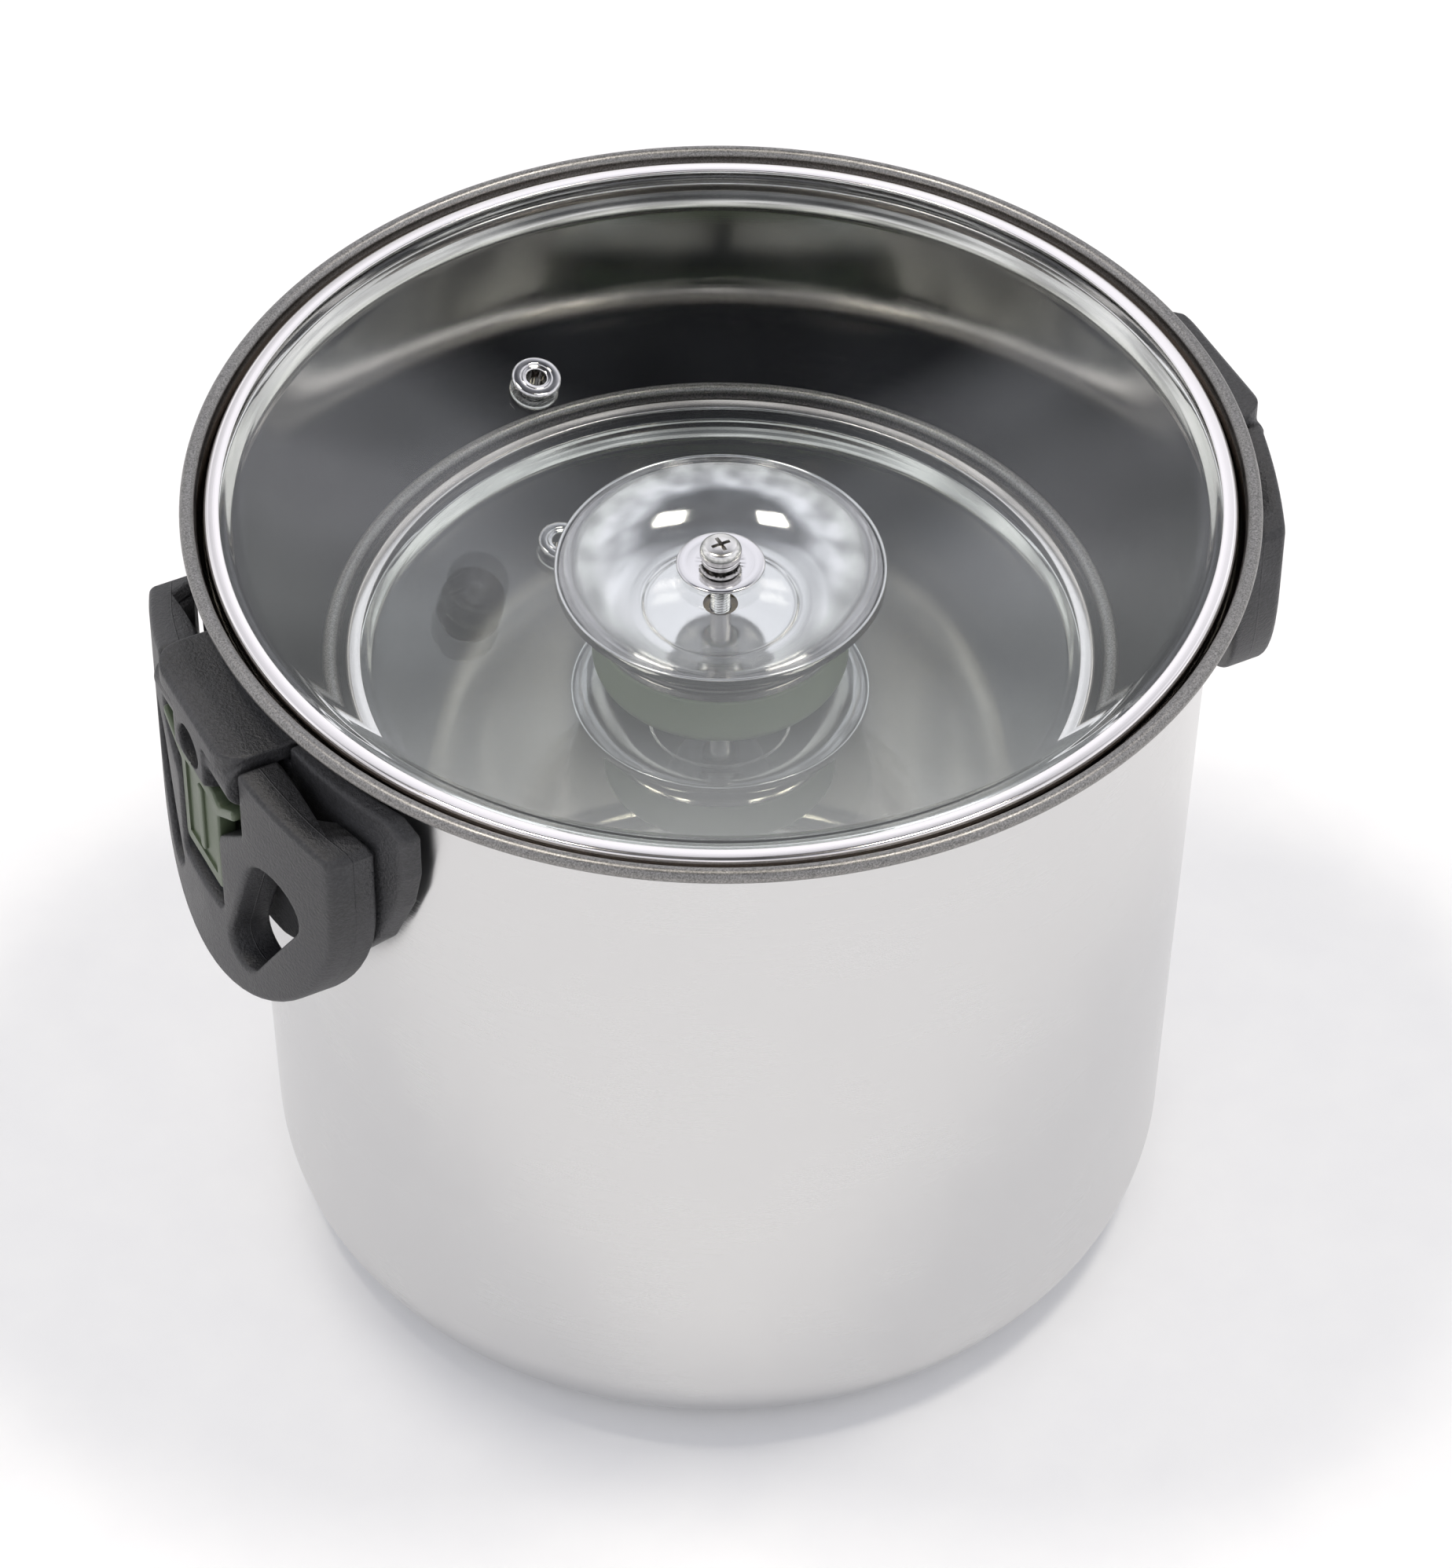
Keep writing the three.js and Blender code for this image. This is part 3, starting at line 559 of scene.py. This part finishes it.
# ---- pots -------------------------------------------------------------------------------
def pot(prefix, body, height, wall_r, lip_r, z0, corner):
    bottom_r = wall_r - POT_TAPER
    foot_r = bottom_r - corner
    bead = LIP_BAND / 2
    bead_r = lip_r - bead
    bead_z = height - bead
    seat_z = height - SEAT_DEPTH
    seat_r = lip_r - LIP_BAND - SHEET * 1.5
    base = [(0, 0), (foot_r * 0.5, 0), (foot_r - 0.6, 0)]
    wall = arc(foot_r, corner, corner, -88, -3, 26) + [
        (bottom_r, corner),
        (bottom_r + POT_TAPER * 0.5, (corner + seat_z) / 2),
        (wall_r, seat_z - 6.2),
        *flow([(wall_r + 0.1, seat_z - 5.2), (wall_r + 1.4, seat_z - 3.9),
               (seat_r - 1.0, seat_z - 1.2), (seat_r + SHEET, seat_z + 0.5)], 5),
        (seat_r + SHEET, bead_z - bead - 0.9),
    ]
    lip = arc(bead_r, bead_z, bead, -118, 186, 36)
    # the lip's inner wall, which carries the painted shade and painted bronze reflection of rim_in
    rim_in = [
        (seat_r + 0.9, bead_z - bead * 0.7),
        (seat_r + 0.2, bead_z - bead - 0.3),
        (seat_r, bead_z - bead - 1.0),
        (seat_r, seat_z + 1.4),
        (seat_r - 0.2, seat_z + 0.6),
    ]
    inside = [
        (seat_r - 0.8, seat_z - 0.1),
        *flow([(wall_r + 1.6, seat_z - 2.5), (wall_r - 0.2, seat_z - 4.2),
               (wall_r - SHEET, seat_z - 6.2)], 5),
        (bottom_r + POT_TAPER * 0.5 - SHEET, (corner + seat_z) / 2),
        (bottom_r - SHEET, corner),
        *arc(foot_r, corner, corner - SHEET, -3, -72, 20),
    ]
    floor = [(foot_r + 2, BASE_T + 0.05), (foot_r - 1, BASE_T), (foot_r * 0.5, BASE_T),
             (0, BASE_T)]
    bands = [("base", base), ("wall", wall), ("lip", lip), ("rim_in", rim_in),
             ("inside", inside), ("floor_in", floor)]
    raised = [(look, [(r, z + z0) for r, z in points]) for look, points in bands]
    shell = lathe(prefix + "_pot_shell", raised, 256)
    sections = sorted(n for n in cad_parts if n.startswith(prefix + "_pot_"))
    finish_piece(shell, body, "satin_steel", *sections)
    return seat_z + z0, seat_r, height + z0


INNER_BASE_Z = BASE_T + GAP
outer_seat = pot("outer", "outer_pot_set", POT_HEIGHT, WALL_R, LIP_R, 0, CORNER_R)
inner_seat = pot("inner", "inner_pot_body", INNER_TOP_Z - INNER_BASE_Z, INNER_WALL_R,
                 INNER_LIP_R, INNER_BASE_Z, CORNER_R * 0.8)


# ---- lids -------------------------------------------------------------------------------
def lid(prefix, seat, sag, dish_r, vent_r, vent_deg):
    body = prefix + "_lid"
    seat_z, seat_r, top_z = seat

    def piece(name, node, slot, bands, segments=192, **more):
        obj = lathe(f"{prefix}_{name}", bands, segments, **more)
        return finish_piece(obj, body, slot, f"{prefix}_{node}")

    band_r = seat_r - GAP * 1.3
    band_z = seat_z + GAP + 0.2
    band_top = band_z + GLASS_T + GAP * 2 + BAND_SHEET * 2
    face_r = band_r - BAND_FACE
    hem = BAND_SHEET / 2
    out_round = 1.1
    in_round = out_round - BAND_SHEET
    side_r = band_r - 0.35
    piece("steel_band", "lid_band", "polished_steel", [("band", [
        (face_r + hem, band_z),
        *arc(side_r - out_round, band_z + out_round, out_round, -90, 0, 6),
        *arc(side_r - out_round, band_top - out_round, out_round, 0, 90, 6),
        *arc(face_r + hem, band_top - hem, hem, 90, 270, 8),
        *arc(side_r - out_round, band_top - out_round, in_round, 90, 0, 4),
        *arc(side_r - out_round, band_z + out_round, in_round, 0, -90, 4),
        *arc(face_r + hem, band_z + hem, hem, 90, 262, 8),
    ])], 256)

    rim_top = band_z + BAND_SHEET + GAP + GLASS_T
    centre_z = top_z - sag
    bowl_r = face_r - 2.4
    drop = rim_top - centre_z
    sphere = (bowl_r ** 2 + drop ** 2) / (2 * drop)
    hole_r = SCREW_R + 1.8
    edge_r = side_r - BAND_SHEET - GAP

    def bowl(r):
        return centre_z + sphere - math.sqrt(sphere ** 2 - r ** 2)

    radii = [hole_r + (bowl_r - 1.5 - hole_r) * i / 40 for i in range(41)]
    upper = [(r, bowl(r)) for r in radii]
    upper += flow([(bowl_r - 1.5, bowl(bowl_r - 1.5)), (bowl_r - 0.3, rim_top - 0.35),
                   (bowl_r + 1.0, rim_top), (face_r, rim_top)], 4)[1:]
    lower = [(r + GLASS_T * r / sphere, bowl(r) - GLASS_T * math.sqrt(1 - (r / sphere) ** 2))
             for r in radii]
    lower += flow([lower[-1], (bowl_r + 1.2, rim_top - GLASS_T - 0.2),
                   (bowl_r + 2.8, rim_top - GLASS_T), (face_r + 1, rim_top - GLASS_T)], 4)[1:]
    pencil = 0.9
    edge = [*arc(edge_r - pencil, rim_top - GLASS_T + pencil, pencil, -90, 0, 5),
            *arc(edge_r - pencil, rim_top - pencil, pencil, 0, 90, 5)]
    turn = Matrix.Rotation(math.radians(vent_deg), 4, "Z")
    place = turn @ Matrix.Translation((vent_r, 0, bowl(vent_r)))
    vent = place @ Matrix.Rotation(-math.asin(vent_r / sphere), 4, "Y")
    glass = lathe(prefix + "_glass_bowl", [("glass", [*lower, *edge, *upper[::-1]])], 256,
                  angle=50)
    bore = lathe("cutter", [("glass", [(0, -12), (VENT_HOLE_R + 1.1, -12),
                                       (VENT_HOLE_R + 1.1, 9), (0, 9)])], 48, seat=vent)
    cut(glass, bore)
    smooth(glass, 50)
    finish_piece(glass, body, "tempered_glass", prefix + "_lid_glass")

    barrel = VENT_HOLE_R + 0.8
    flange = (VENT_R - barrel - 0.9) / 2
    piece("vent_rivet", "vent_eyelet", "polished_steel", [("dish", [
        (VENT_HOLE_R, -GLASS_T - 2.4),
        (barrel, -GLASS_T - 2.4),
        (barrel, GAP),
        (VENT_R - 0.8, GAP),
        *arc(VENT_R - 0.75, GAP + 0.75, 0.75, -80, 90, 8),
        *arc(VENT_R - 1.3 - flange / 2, GAP + 0.75, 0.75, 90, 176, 8),
        *arc(barrel + 0.25, GAP + 0.9, 0.5, -20, 120, 8),
        *arc(VENT_HOLE_R + 0.5, GAP + 0.8, 0.5, 90, 180, 5),
    ])], 72, seat=vent)
    piece("vent_backing", "vent_washer", "zinc_steel", [("small", [
        (barrel + 0.15, -GLASS_T - 1.7), (VENT_R - 0.2, -GLASS_T - 1.7),
        *arc(VENT_R - 0.3, -GLASS_T - 1.2, 0.3, -60, 60, 4),
        (VENT_R - 0.4, -GLASS_T - 0.7), (barrel + 0.15, -GLASS_T - 0.7),
    ])], 72, seat=vent)

    k = dish_r / DISH_R
    rim_z = centre_z - GLASS_T + dish_r ** 2 / (2 * sphere) - 0.4
    floor_z = rim_z - DISH_DEPTH
    under = floor_z - DISH_SHEET
    inner = [(4, 0), (16.6, 0), (17.2, 0.02), *flow([(17.5, 0.12), (18.1, 0.52), (19.0, 0.62)], 4),
             *flow([(20.5, 0.66), (25, 1.55), (29.5, 3.5), (33.2, 6.1), (35.6, 8.7),
                    (36.75, 10.6)], 5), (36.95, 11.4)]
    rolled = arc(37.35, 11.75, 0.42, 180, -20, 8)
    outer = [(37.75, 9.6), (36.5, 8.3), (33.9, 5.6), (30, 2.8), (25.2, 0.9), (20.5, 0.02),
             (18.9, 0), (18.0, -0.2), (17.4, -DISH_SHEET), (4, -DISH_SHEET)]
    dish = [(r * k, z + floor_z) for r, z in [*inner, *rolled, *outer]]
    piece("spun_dish", "knob_dish", "polished_steel", [("dish", dish)], 192, angle=50)

    grip_top = under - COLLAR_H
    grip_bottom = grip_top - GRIP_H
    piece("dish_collar", "knob_collar", "polished_steel", [("band", [
        (15 * k, under - GAP), (18 * k, under - GAP), (25.3 * k, under + 0.2),
        (29.2 * k, under + 1.6), (30.3 * k, under + 1.9), (30.5 * k, under + 1.2),
        *flow([(30.2 * k, under), (29.7 * k, under - 1.4), (29.3 * k, grip_top + GAP)], 5),
        (15 * k, grip_top + GAP),
    ])], 144)
    well = 4.6 + GAP
    insert_z = grip_top - 10.5
    grip_r = 29.5 * k
    turn_in = 5 * k
    piece("moulded_grip", "knob_grip", "green_plastic", [("grip", [
        (0, grip_bottom), (grip_r * 0.4, grip_bottom),
        *arc(grip_r - turn_in, grip_bottom + turn_in, turn_in, -86, -4, 14),
        (grip_r, grip_bottom + turn_in + 0.5),
        *arc(grip_r - 0.7, grip_top - 0.7, 0.7, 0, 90, 5),
        (well + 0.4, grip_top), (well, grip_top - 0.4), (well, insert_z - GAP),
        (0, insert_z - GAP),
    ])], 144)

    flat_z = centre_z + GAP
    spring_z = flat_z + CUP_WASHER_T + GAP
    head_z = spring_z + SPLIT_WASHER_T + GAP + 0.1
    head_top = head_z + SCREW_HEAD_H
    screw_end = insert_z + 1.2
    pitch = 0.8
    fine = 0.1
    steps = int((head_z - 0.2 - screw_end - 0.7) / fine)
    shank = [(SCREW_R, screw_end + 0.7 + fine * i) for i in range(steps)]
    screw = lathe(prefix + "_pan_screw", [("small", [
        (0, screw_end), (SCREW_R - 0.6, screw_end), *shank, (SCREW_R, head_z),
        (HEAD_R - 0.4, head_z), (HEAD_R, head_z + 0.4), (HEAD_R, head_z + 1.5),
        *arc(HEAD_R - 1.9, head_z + 1.5, 1.9, 10, 78, 8),
        (HEAD_R * 0.3, head_top - 0.03), (0, head_top),
    ])], 40, thread=thread_cut(screw_end + 0.6, head_z - 0.6, pitch, 0.38), angle=60)
    cut(screw, *cross_recess(head_top, 2.7, "small"))
    finish_piece(screw, body, "zinc_steel", prefix + "_knob_screw")

    split = ring_gap(prefix + "_split_washer", [
        (SCREW_R + 0.25, spring_z), (4.15, spring_z), (4.3, spring_z + 0.15),
        (4.3, spring_z + 0.95), (4.15, spring_z + 1.1), (SCREW_R + 0.25, spring_z + 1.1),
    ], "small", 9, 0.2)
    finish_piece(split, body, "spring_steel", prefix + "_spring_washer")
    piece("cup_washer", "flat_washer", "polished_steel", [("dish", [
        (SCREW_R + 0.3, flat_z), (7.6, flat_z), (9.2, flat_z + 0.12),
        *arc(9.75, flat_z + 0.62, 0.3, -60, 80, 6),
        (9.4, flat_z + 0.98), (7.6, flat_z + 0.86), (6.0, flat_z + 0.84),
        (SCREW_R + 0.5, flat_z + 0.84), (SCREW_R + 0.3, flat_z + 0.7),
    ])], 120)
    bush = [(SCREW_R + 0.3, centre_z - GLASS_T + 0.1), (hole_r - GAP - 0.2, centre_z - GLASS_T + 0.1),
            (hole_r - GAP, centre_z - GLASS_T + 0.3), (hole_r - GAP, centre_z - 0.3),
            (hole_r - GAP - 0.2, centre_z - 0.1), (SCREW_R + 0.3, centre_z - 0.1)]
    piece("soft_bush", "lid_seal", "seal_silicone", [("seal", bush)], 64)


lid("outer", outer_seat, LID_SAG, DISH_R, 67.9, 102.1)
lid("inner", inner_seat, INNER_LID_SAG, INNER_DISH_R, 56, 105)


# ---- handles ----------------------------------------------------------------------------
def teardrop(y0, z0, r0, y1, z1, r1, steps=12):
    """Outline of a tapering slot with round ends."""
    d = math.hypot(y1 - y0, z1 - z0)
    along = math.degrees(math.atan2(z1 - z0, y1 - y0))
    tilt = math.degrees(math.acos((r0 - r1) / d))
    return [*arc(y1, z1, r1, along - tilt, along + tilt, steps),
            *arc(y0, z0, r0, along + tilt, along + 360 - tilt, steps)]


def dress(node, look):
    """Gives a carried-over CAD node its look."""
    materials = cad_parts[node].data.materials
    materials.clear()
    materials.append(LOOKS[look])


def handle_set(side, turn):
    fixed = "outer_pot_set"
    moving = side + "_handle_body"
    top = POT_HEIGHT
    cheek_z, notch_z, window_z = top - 34, top - 42.5, top - 66

    def settle(obj, body, slot, *nodes):
        obj.data.transform(turn)
        return finish_piece(obj, body, slot, *[f"{side}_{n}" for n in nodes])

    # folding handle
    arm_y = BLOCK_HALF_W + 0.7
    half = [(arm_y, top - 14.2, 1.4), (HANDLE_HALF_W - 1.5, top - 21.4, 1.2),
            (HANDLE_HALF_W, top - 23, 0)]
    half += [(HANDLE_HALF_W * math.cos(math.radians(a)),
              top - 40 - (HANDLE_DROP - 40) * math.sin(math.radians(a)), 0)
             for a in range(0, 90, 5)]
    notch_y = LATCH_HALF_W + 0.8
    window_y = LATCH_HALF_W + 0.4
    half_flip = [(-y, z, r) for y, z, r in half[::-1]]
    window = [(-arm_y, cheek_z, 1.5), (-notch_y, notch_z, 0.8), (-window_y, top - 44, 0),
              (-window_y, window_z, 2), (window_y, window_z, 2), (window_y, top - 44, 0),
              (notch_y, notch_z, 0.8), (arm_y, cheek_z, 1.5)]
    outline = rounded([*half, (0, top - HANDLE_DROP, 0), *half_flip, *window])
    slot = teardrop(30.2, top - 47.5, 8.5, 18.6, top - 71.5, 5.5)
    handle = plate(f"{side}_handle_shell", outline, [slot, mirrored(slot)], "black_parted", HANDLE_T,
                   1.3, bend=True, at=HANDLE_BEND_R - HANDLE_T, centre=HANDLE_CENTRE_X)
    # the arms' back is rounded about the hinge, so that it clears the guard as it folds
    for v in handle.data.vertices:
        back = Vector((v.co.x / MM - HINGE_X, v.co.z / MM - HINGE_Z))
        if back.x < 0 < back.y and back.length > ARM_BACK_R:
            back = back.normalized() * ARM_BACK_R
            v.co.x, v.co.z = (back.x + HINGE_X) * MM, (back.y + HINGE_Z) * MM
    settle(handle, moving, "black_plastic", "handle")

    # rear guard
    guard_half = [(21, top - 17.2, 0), (21, top - 12.2, 0.8), (50.5, top - 12.8, 2.5),
                  (54.4, top - 16.7, 2.5), (54.4, top - 28, 6), (52.6, top - 38, 6),
                  (47.5, top - 51.5, 6), (39.5, top - 62, 6), (28, top - 71, 6),
                  (14, top - 77, 6)]
    guard_flip = [(-y, z, r) for y, z, r in guard_half[::-1]]
    guard_slot = teardrop(36.5, top - 37, 8, 24, top - 59, 5)
    middle = rounded([(-9, top - 68, 3), (9, top - 68, 3), (9, top - 45, 3), (-9, top - 45, 3)])
    guard_t = GUARD_T - 0.7
    guard = plate(f"{side}_guard_shell", rounded([*guard_half, (0, top - 79, 6), *guard_flip]),
                  [guard_slot, mirrored(guard_slot), middle], "black", guard_t, 1.2,
                  bend=True, at=GUARD_OUT_R - guard_t)
    settle(guard, fixed, "black_plastic", "rear_guard")

    # mount block: the CAD block with its edges softened
    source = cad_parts[f"{side}_mount_block"]
    block = bpy.data.objects.new(f"{side}_block_shell", source.data.copy())
    bpy.context.scene.collection.objects.link(block)
    voxels = block.modifiers.new("voxels", "REMESH")
    voxels.mode = "VOXEL"
    voxels.voxel_size = 0.34 * MM
    soften = block.modifiers.new("soften", "SMOOTH")
    soften.factor = 0.5
    soften.iterations = 8
    fewer = block.modifiers.new("fewer", "DECIMATE")
    fewer.ratio = 0.3
    bake(block)
    block.data.materials.clear()
    block.data.materials.append(LOOKS["black"])
    smooth(block, 60)
    finish_piece(block, fixed, "black_plastic", f"{side}_mount_block")

    # screw at the bottom of the round hole
    aim = Matrix.Translation((0, 0, SCREW_Z)) @ Matrix.Rotation(math.pi / 2, 4, "Y")
    bottom = GUARD_OUT_R + 7
    head_top = bottom + MOUNT_HEAD_H
    pan = [(MOUNT_HEAD_R, bottom + GAP), (MOUNT_HEAD_R, bottom + 2.0),
           *arc(MOUNT_HEAD_R - 1.5, bottom + 1.9, 1.5, 10, 80, 6), (0, head_top)]
    screw = lathe(f"{side}_block_screw", [("small", [
        (0, WALL_R + 2), (MOUNT_SCREW_R, WALL_R + 2), (MOUNT_SCREW_R, bottom + GAP),
        *pan])], 64, seat=aim)
    cut(screw, *cross_recess(head_top, 2.5, "small", aim))
    settle(screw, fixed, "zinc_steel", "mount_screw")

    # green latch
    latch_top = HINGE_Z - BOSS_R - 0.5
    latch_z = top - 61
    ear_z = HINGE_Z - KNUCKLE_R - 1.2
    ear_y = LATCH_HALF_W + 9
    face_half = [(LATCH_HALF_W, top - 37.4, 1), (ear_y, ear_z - 3, 0.8), (ear_y, ear_z, 0.8),
                 (LATCH_HALF_W + 0.6, cheek_z, 2), (BOSS_HALF_W, latch_top, 0.8)]
    flip = [(-y, z, r) for y, z, r in face_half[::-1]]
    outline = rounded([(-LATCH_HALF_W, latch_z, 2), (LATCH_HALF_W, latch_z, 2), *face_half, *flip])
    panel_half = LATCH_HALF_W - 2.6
    latch_back = HANDLE_FACE_X - 5.5
    latch_face = HANDLE_FACE_X - 1.1
    rail_x = HANDLE_FACE_X - 8.7
    latch = plate(f"{side}_latch_slider", outline, [], "green", latch_face - latch_back, 0.7,
                  at=latch_back)
    tray = block_of(latch_face - 0.55, latch_face + 2, -panel_half, panel_half, latch_z + 3.4,
                    latch_top - 3.5, "green")
    cut(latch, tray)
    shape = bmesh.new()
    shape.from_mesh(latch.data)
    rib = plate("rib", rounded([(-1.3, latch_z + 4.6, 1.2), (1.3, latch_z + 4.6, 1.2),
                                (1.3, latch_top - 4.7, 1.2), (-1.3, latch_top - 4.7, 1.2)]),
                [], "green", 1.2, 0.4, at=latch_face - 1.0)
    rear = block_of(rail_x, latch_back + 0.2, -12.1, 12.1, latch_z + 1, top - 44, "green")
    spine = block_of(rail_x, latch_back + 0.7, -8, 8, latch_z, latch_top - 0.4, "green")
    for extra in (rib, rear, spine):
        shape.from_mesh(extra.data)
        bpy.data.objects.remove(extra)
    shape.to_mesh(latch.data)
    shape.free()
    smooth(latch, 35)
    settle(latch, side + "_latch_body", "green_plastic", "latch")

    # latch spring
    turns, wire, sides = 5, 0.32, 8
    coil_x, coil_r = HANDLE_FACE_X - 5.1, 2
    low, high = window_z + 0.6, latch_z + 15 - 0.6
    count = turns * 28
    points, faces = [], []
    for i in range(count + 1):
        a = TURN * i * turns / count
        centre = Vector((coil_x + coil_r * math.cos(a), coil_r * math.sin(a),
                         low + (high - low) * i / count))
        out = Vector((math.cos(a), math.sin(a), 0))
        for j in range(sides):
            b = TURN * j / sides
            points.append(centre + out * (wire * math.cos(b)) + Vector((0, 0, wire * math.sin(b))))
    for i in range(count):
        here, after = i * sides, (i + 1) * sides
        for j in range(sides):
            n = (j + 1) % sides
            faces.append((here + j, here + n, after + n, after + j))
    faces += [tuple(range(sides))[::-1], tuple(count * sides + j for j in range(sides))]
    coil = new_object(f"{side}_coil_spring", points, faces, "spring")
    settle(coil, moving, "spring_steel", "latch_spring")
    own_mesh(coil)

    for node in ("weld_plate", "hinge_pin_a", "hinge_pin_b"):
        dress(f"{side}_{node}", "small")


handle_set("right", Matrix.Identity(4))
handle_set("left", Matrix.Rotation(math.pi, 4, "Z"))
for prefix in ("outer", "inner"):
    dress(prefix + "_knob_insert", "brass")


# ---- camera at the photograph's angle ---------------------------------------------------
TURN_OF_PARTS = -26.9
TILT = 42.35
DISTANCE = 11.029 * LIP_R * MM
LENS, SENSOR = 136.92986, 36.0
YAW, PITCH, ROLL = -0.0010800839, 0.0499452568, -0.0055  # turns of the camera's aim, in radians
ce, se = math.cos(math.radians(TILT)), math.sin(math.radians(TILT))
axes = Matrix(((1, 0, 0), (0, se, ce), (0, ce, -se)))
yaw = Matrix(((math.cos(YAW), 0, math.sin(YAW)), (0, 1, 0), (-math.sin(YAW), 0, math.cos(YAW))))
pitch = Matrix(((1, 0, 0), (0, math.cos(PITCH), math.sin(PITCH)),
                (0, -math.sin(PITCH), math.cos(PITCH))))
roll = Matrix(((math.cos(ROLL), -math.sin(ROLL), 0), (math.sin(ROLL), math.cos(ROLL), 0),
               (0, 0, 1)))
look = roll @ pitch @ yaw @ axes
to_part = Matrix.Rotation(math.radians(TURN_OF_PARTS), 3, "Z")
right, up, ahead = (to_part @ row for row in look)
camera_data = bpy.data.cameras.new("camera")
camera_data.sensor_width = SENSOR
camera_data.lens = LENS
camera = bpy.data.objects.new("camera", camera_data)
bpy.context.scene.collection.objects.link(camera)
basis = Matrix((right, up, -ahead)).transposed().to_4x4()
where = to_part @ Vector((0, -ce * DISTANCE, se * DISTANCE)) + Vector((0, 0, POT_HEIGHT * MM))
camera.matrix_world = Matrix.Translation(where) @ basis
bpy.context.scene.camera = camera


# ---- floor and studio light -------------------------------------------------------------
floor_mesh = bpy.data.meshes.new("floor")
FLOOR_REACH, FLOOR_Z = 6.0, -0.0002
floor_mesh.from_pydata([(FLOOR_REACH * x, FLOOR_REACH * y, FLOOR_Z)
                        for x, y in ((-1, -1), (1, -1), (1, 1), (-1, 1))], [], [(0, 1, 2, 3)])
floor = bpy.data.objects.new("floor", floor_mesh)
bpy.context.scene.collection.objects.link(floor)
paper = Look("pale_floor")
grain = paper.noise(60.0, detail=3.0)
paper.set("Base Color", paper.ramp(grain, (0.3, (0.91, 0.91, 0.915)), (0.7, (0.93, 0.93, 0.93))))
paper.shader.inputs["Roughness"].default_value = 0.9
paper.shader.inputs["Specular IOR Level"].default_value = 0.1
floor_mesh.materials.append(paper.material)

# brightness follows height, and panels vary it round the horizon for the bands in the steel
world = bpy.data.worlds.new("studio")
bpy.context.scene.world = world
world.use_nodes = True
tree = world.node_tree
sky = tree.nodes["Background"]
spot = tree.nodes.new("ShaderNodeTexCoord")
split = tree.nodes.new("ShaderNodeSeparateXYZ")
tree.links.new(spot.outputs["Generated"], split.inputs["Vector"])
ramp = tree.nodes.new("ShaderNodeValToRGB")
tree.links.new(split.outputs["Z"], ramp.inputs["Fac"])
stops = ramp.color_ramp.elements
stops[0].position, stops[0].color = 0.0, (0.9, 0.9, 0.92, 1)
stops[1].position, stops[1].color = 0.45, (0.9, 0.91, 0.94, 1)
for place, colour in ((0.62, (1.0, 1.0, 1.07, 1)), (0.79, (0.99, 1.0, 1.08, 1)),
                      (0.88, (0.13, 0.135, 0.155, 1)), (1.0, (0.04, 0.041, 0.047, 1))):
    stop = stops.new(place)
    stop.color = colour
flat = tree.nodes.new("ShaderNodeMapping")
flat.inputs["Scale"].default_value = (1.0, 1.0, 0.0)
tree.links.new(spot.outputs["Generated"], flat.inputs["Vector"])
panels = tree.nodes.new("ShaderNodeTexNoise")
panels.inputs["Scale"].default_value = 3.4
panels.inputs["Detail"].default_value = 1.0
tree.links.new(flat.outputs["Vector"], panels.inputs["Vector"])
level = tree.nodes.new("ShaderNodeMapRange")
for key, value in (("From Min", 0.35), ("From Max", 0.65), ("To Min", 0.65), ("To Max", 1.4)):
    level.inputs[key].default_value = value
tree.links.new(panels.outputs["Fac"], level.inputs["Value"])
lit = tree.nodes.new("ShaderNodeVectorMath")
lit.operation = "SCALE"
tree.links.new(ramp.outputs["Color"], lit.inputs[0])
tree.links.new(level.outputs["Result"], lit.inputs["Scale"])
tree.links.new(lit.outputs["Vector"], sky.inputs["Color"])
sky.inputs["Strength"].default_value = 1.0


def softbox(name, azimuth, elevation, distance, size, power, colour):
    """A square area light aimed at the upper part of the pot. Azimuth counts from the
    camera's side, positive towards the picture's right."""
    light = bpy.data.lights.new(name, "AREA")
    light.shape = "RECTANGLE"
    light.size = light.size_y = size
    light.energy = power
    light.color = colour
    a = math.radians(TURN_OF_PARTS - 90 + azimuth)
    e = math.radians(elevation)
    direction = Vector((math.cos(a) * math.cos(e), math.sin(a) * math.cos(e), math.sin(e)))
    obj = bpy.data.objects.new(name, light)
    bpy.context.scene.collection.objects.link(obj)
    target = Vector((0, 0, 0.12))
    obj.location = target + direction * distance
    obj.rotation_euler = direction.to_track_quat("Z", "Y").to_euler()


for side, azimuth in (("left", -96), ("right", 96)):
    softbox("key_" + side, azimuth, 72, 2.0, 0.36, 12, (1, 0.95, 0.87))

bpy.context.scene.view_settings.view_transform = "Standard"
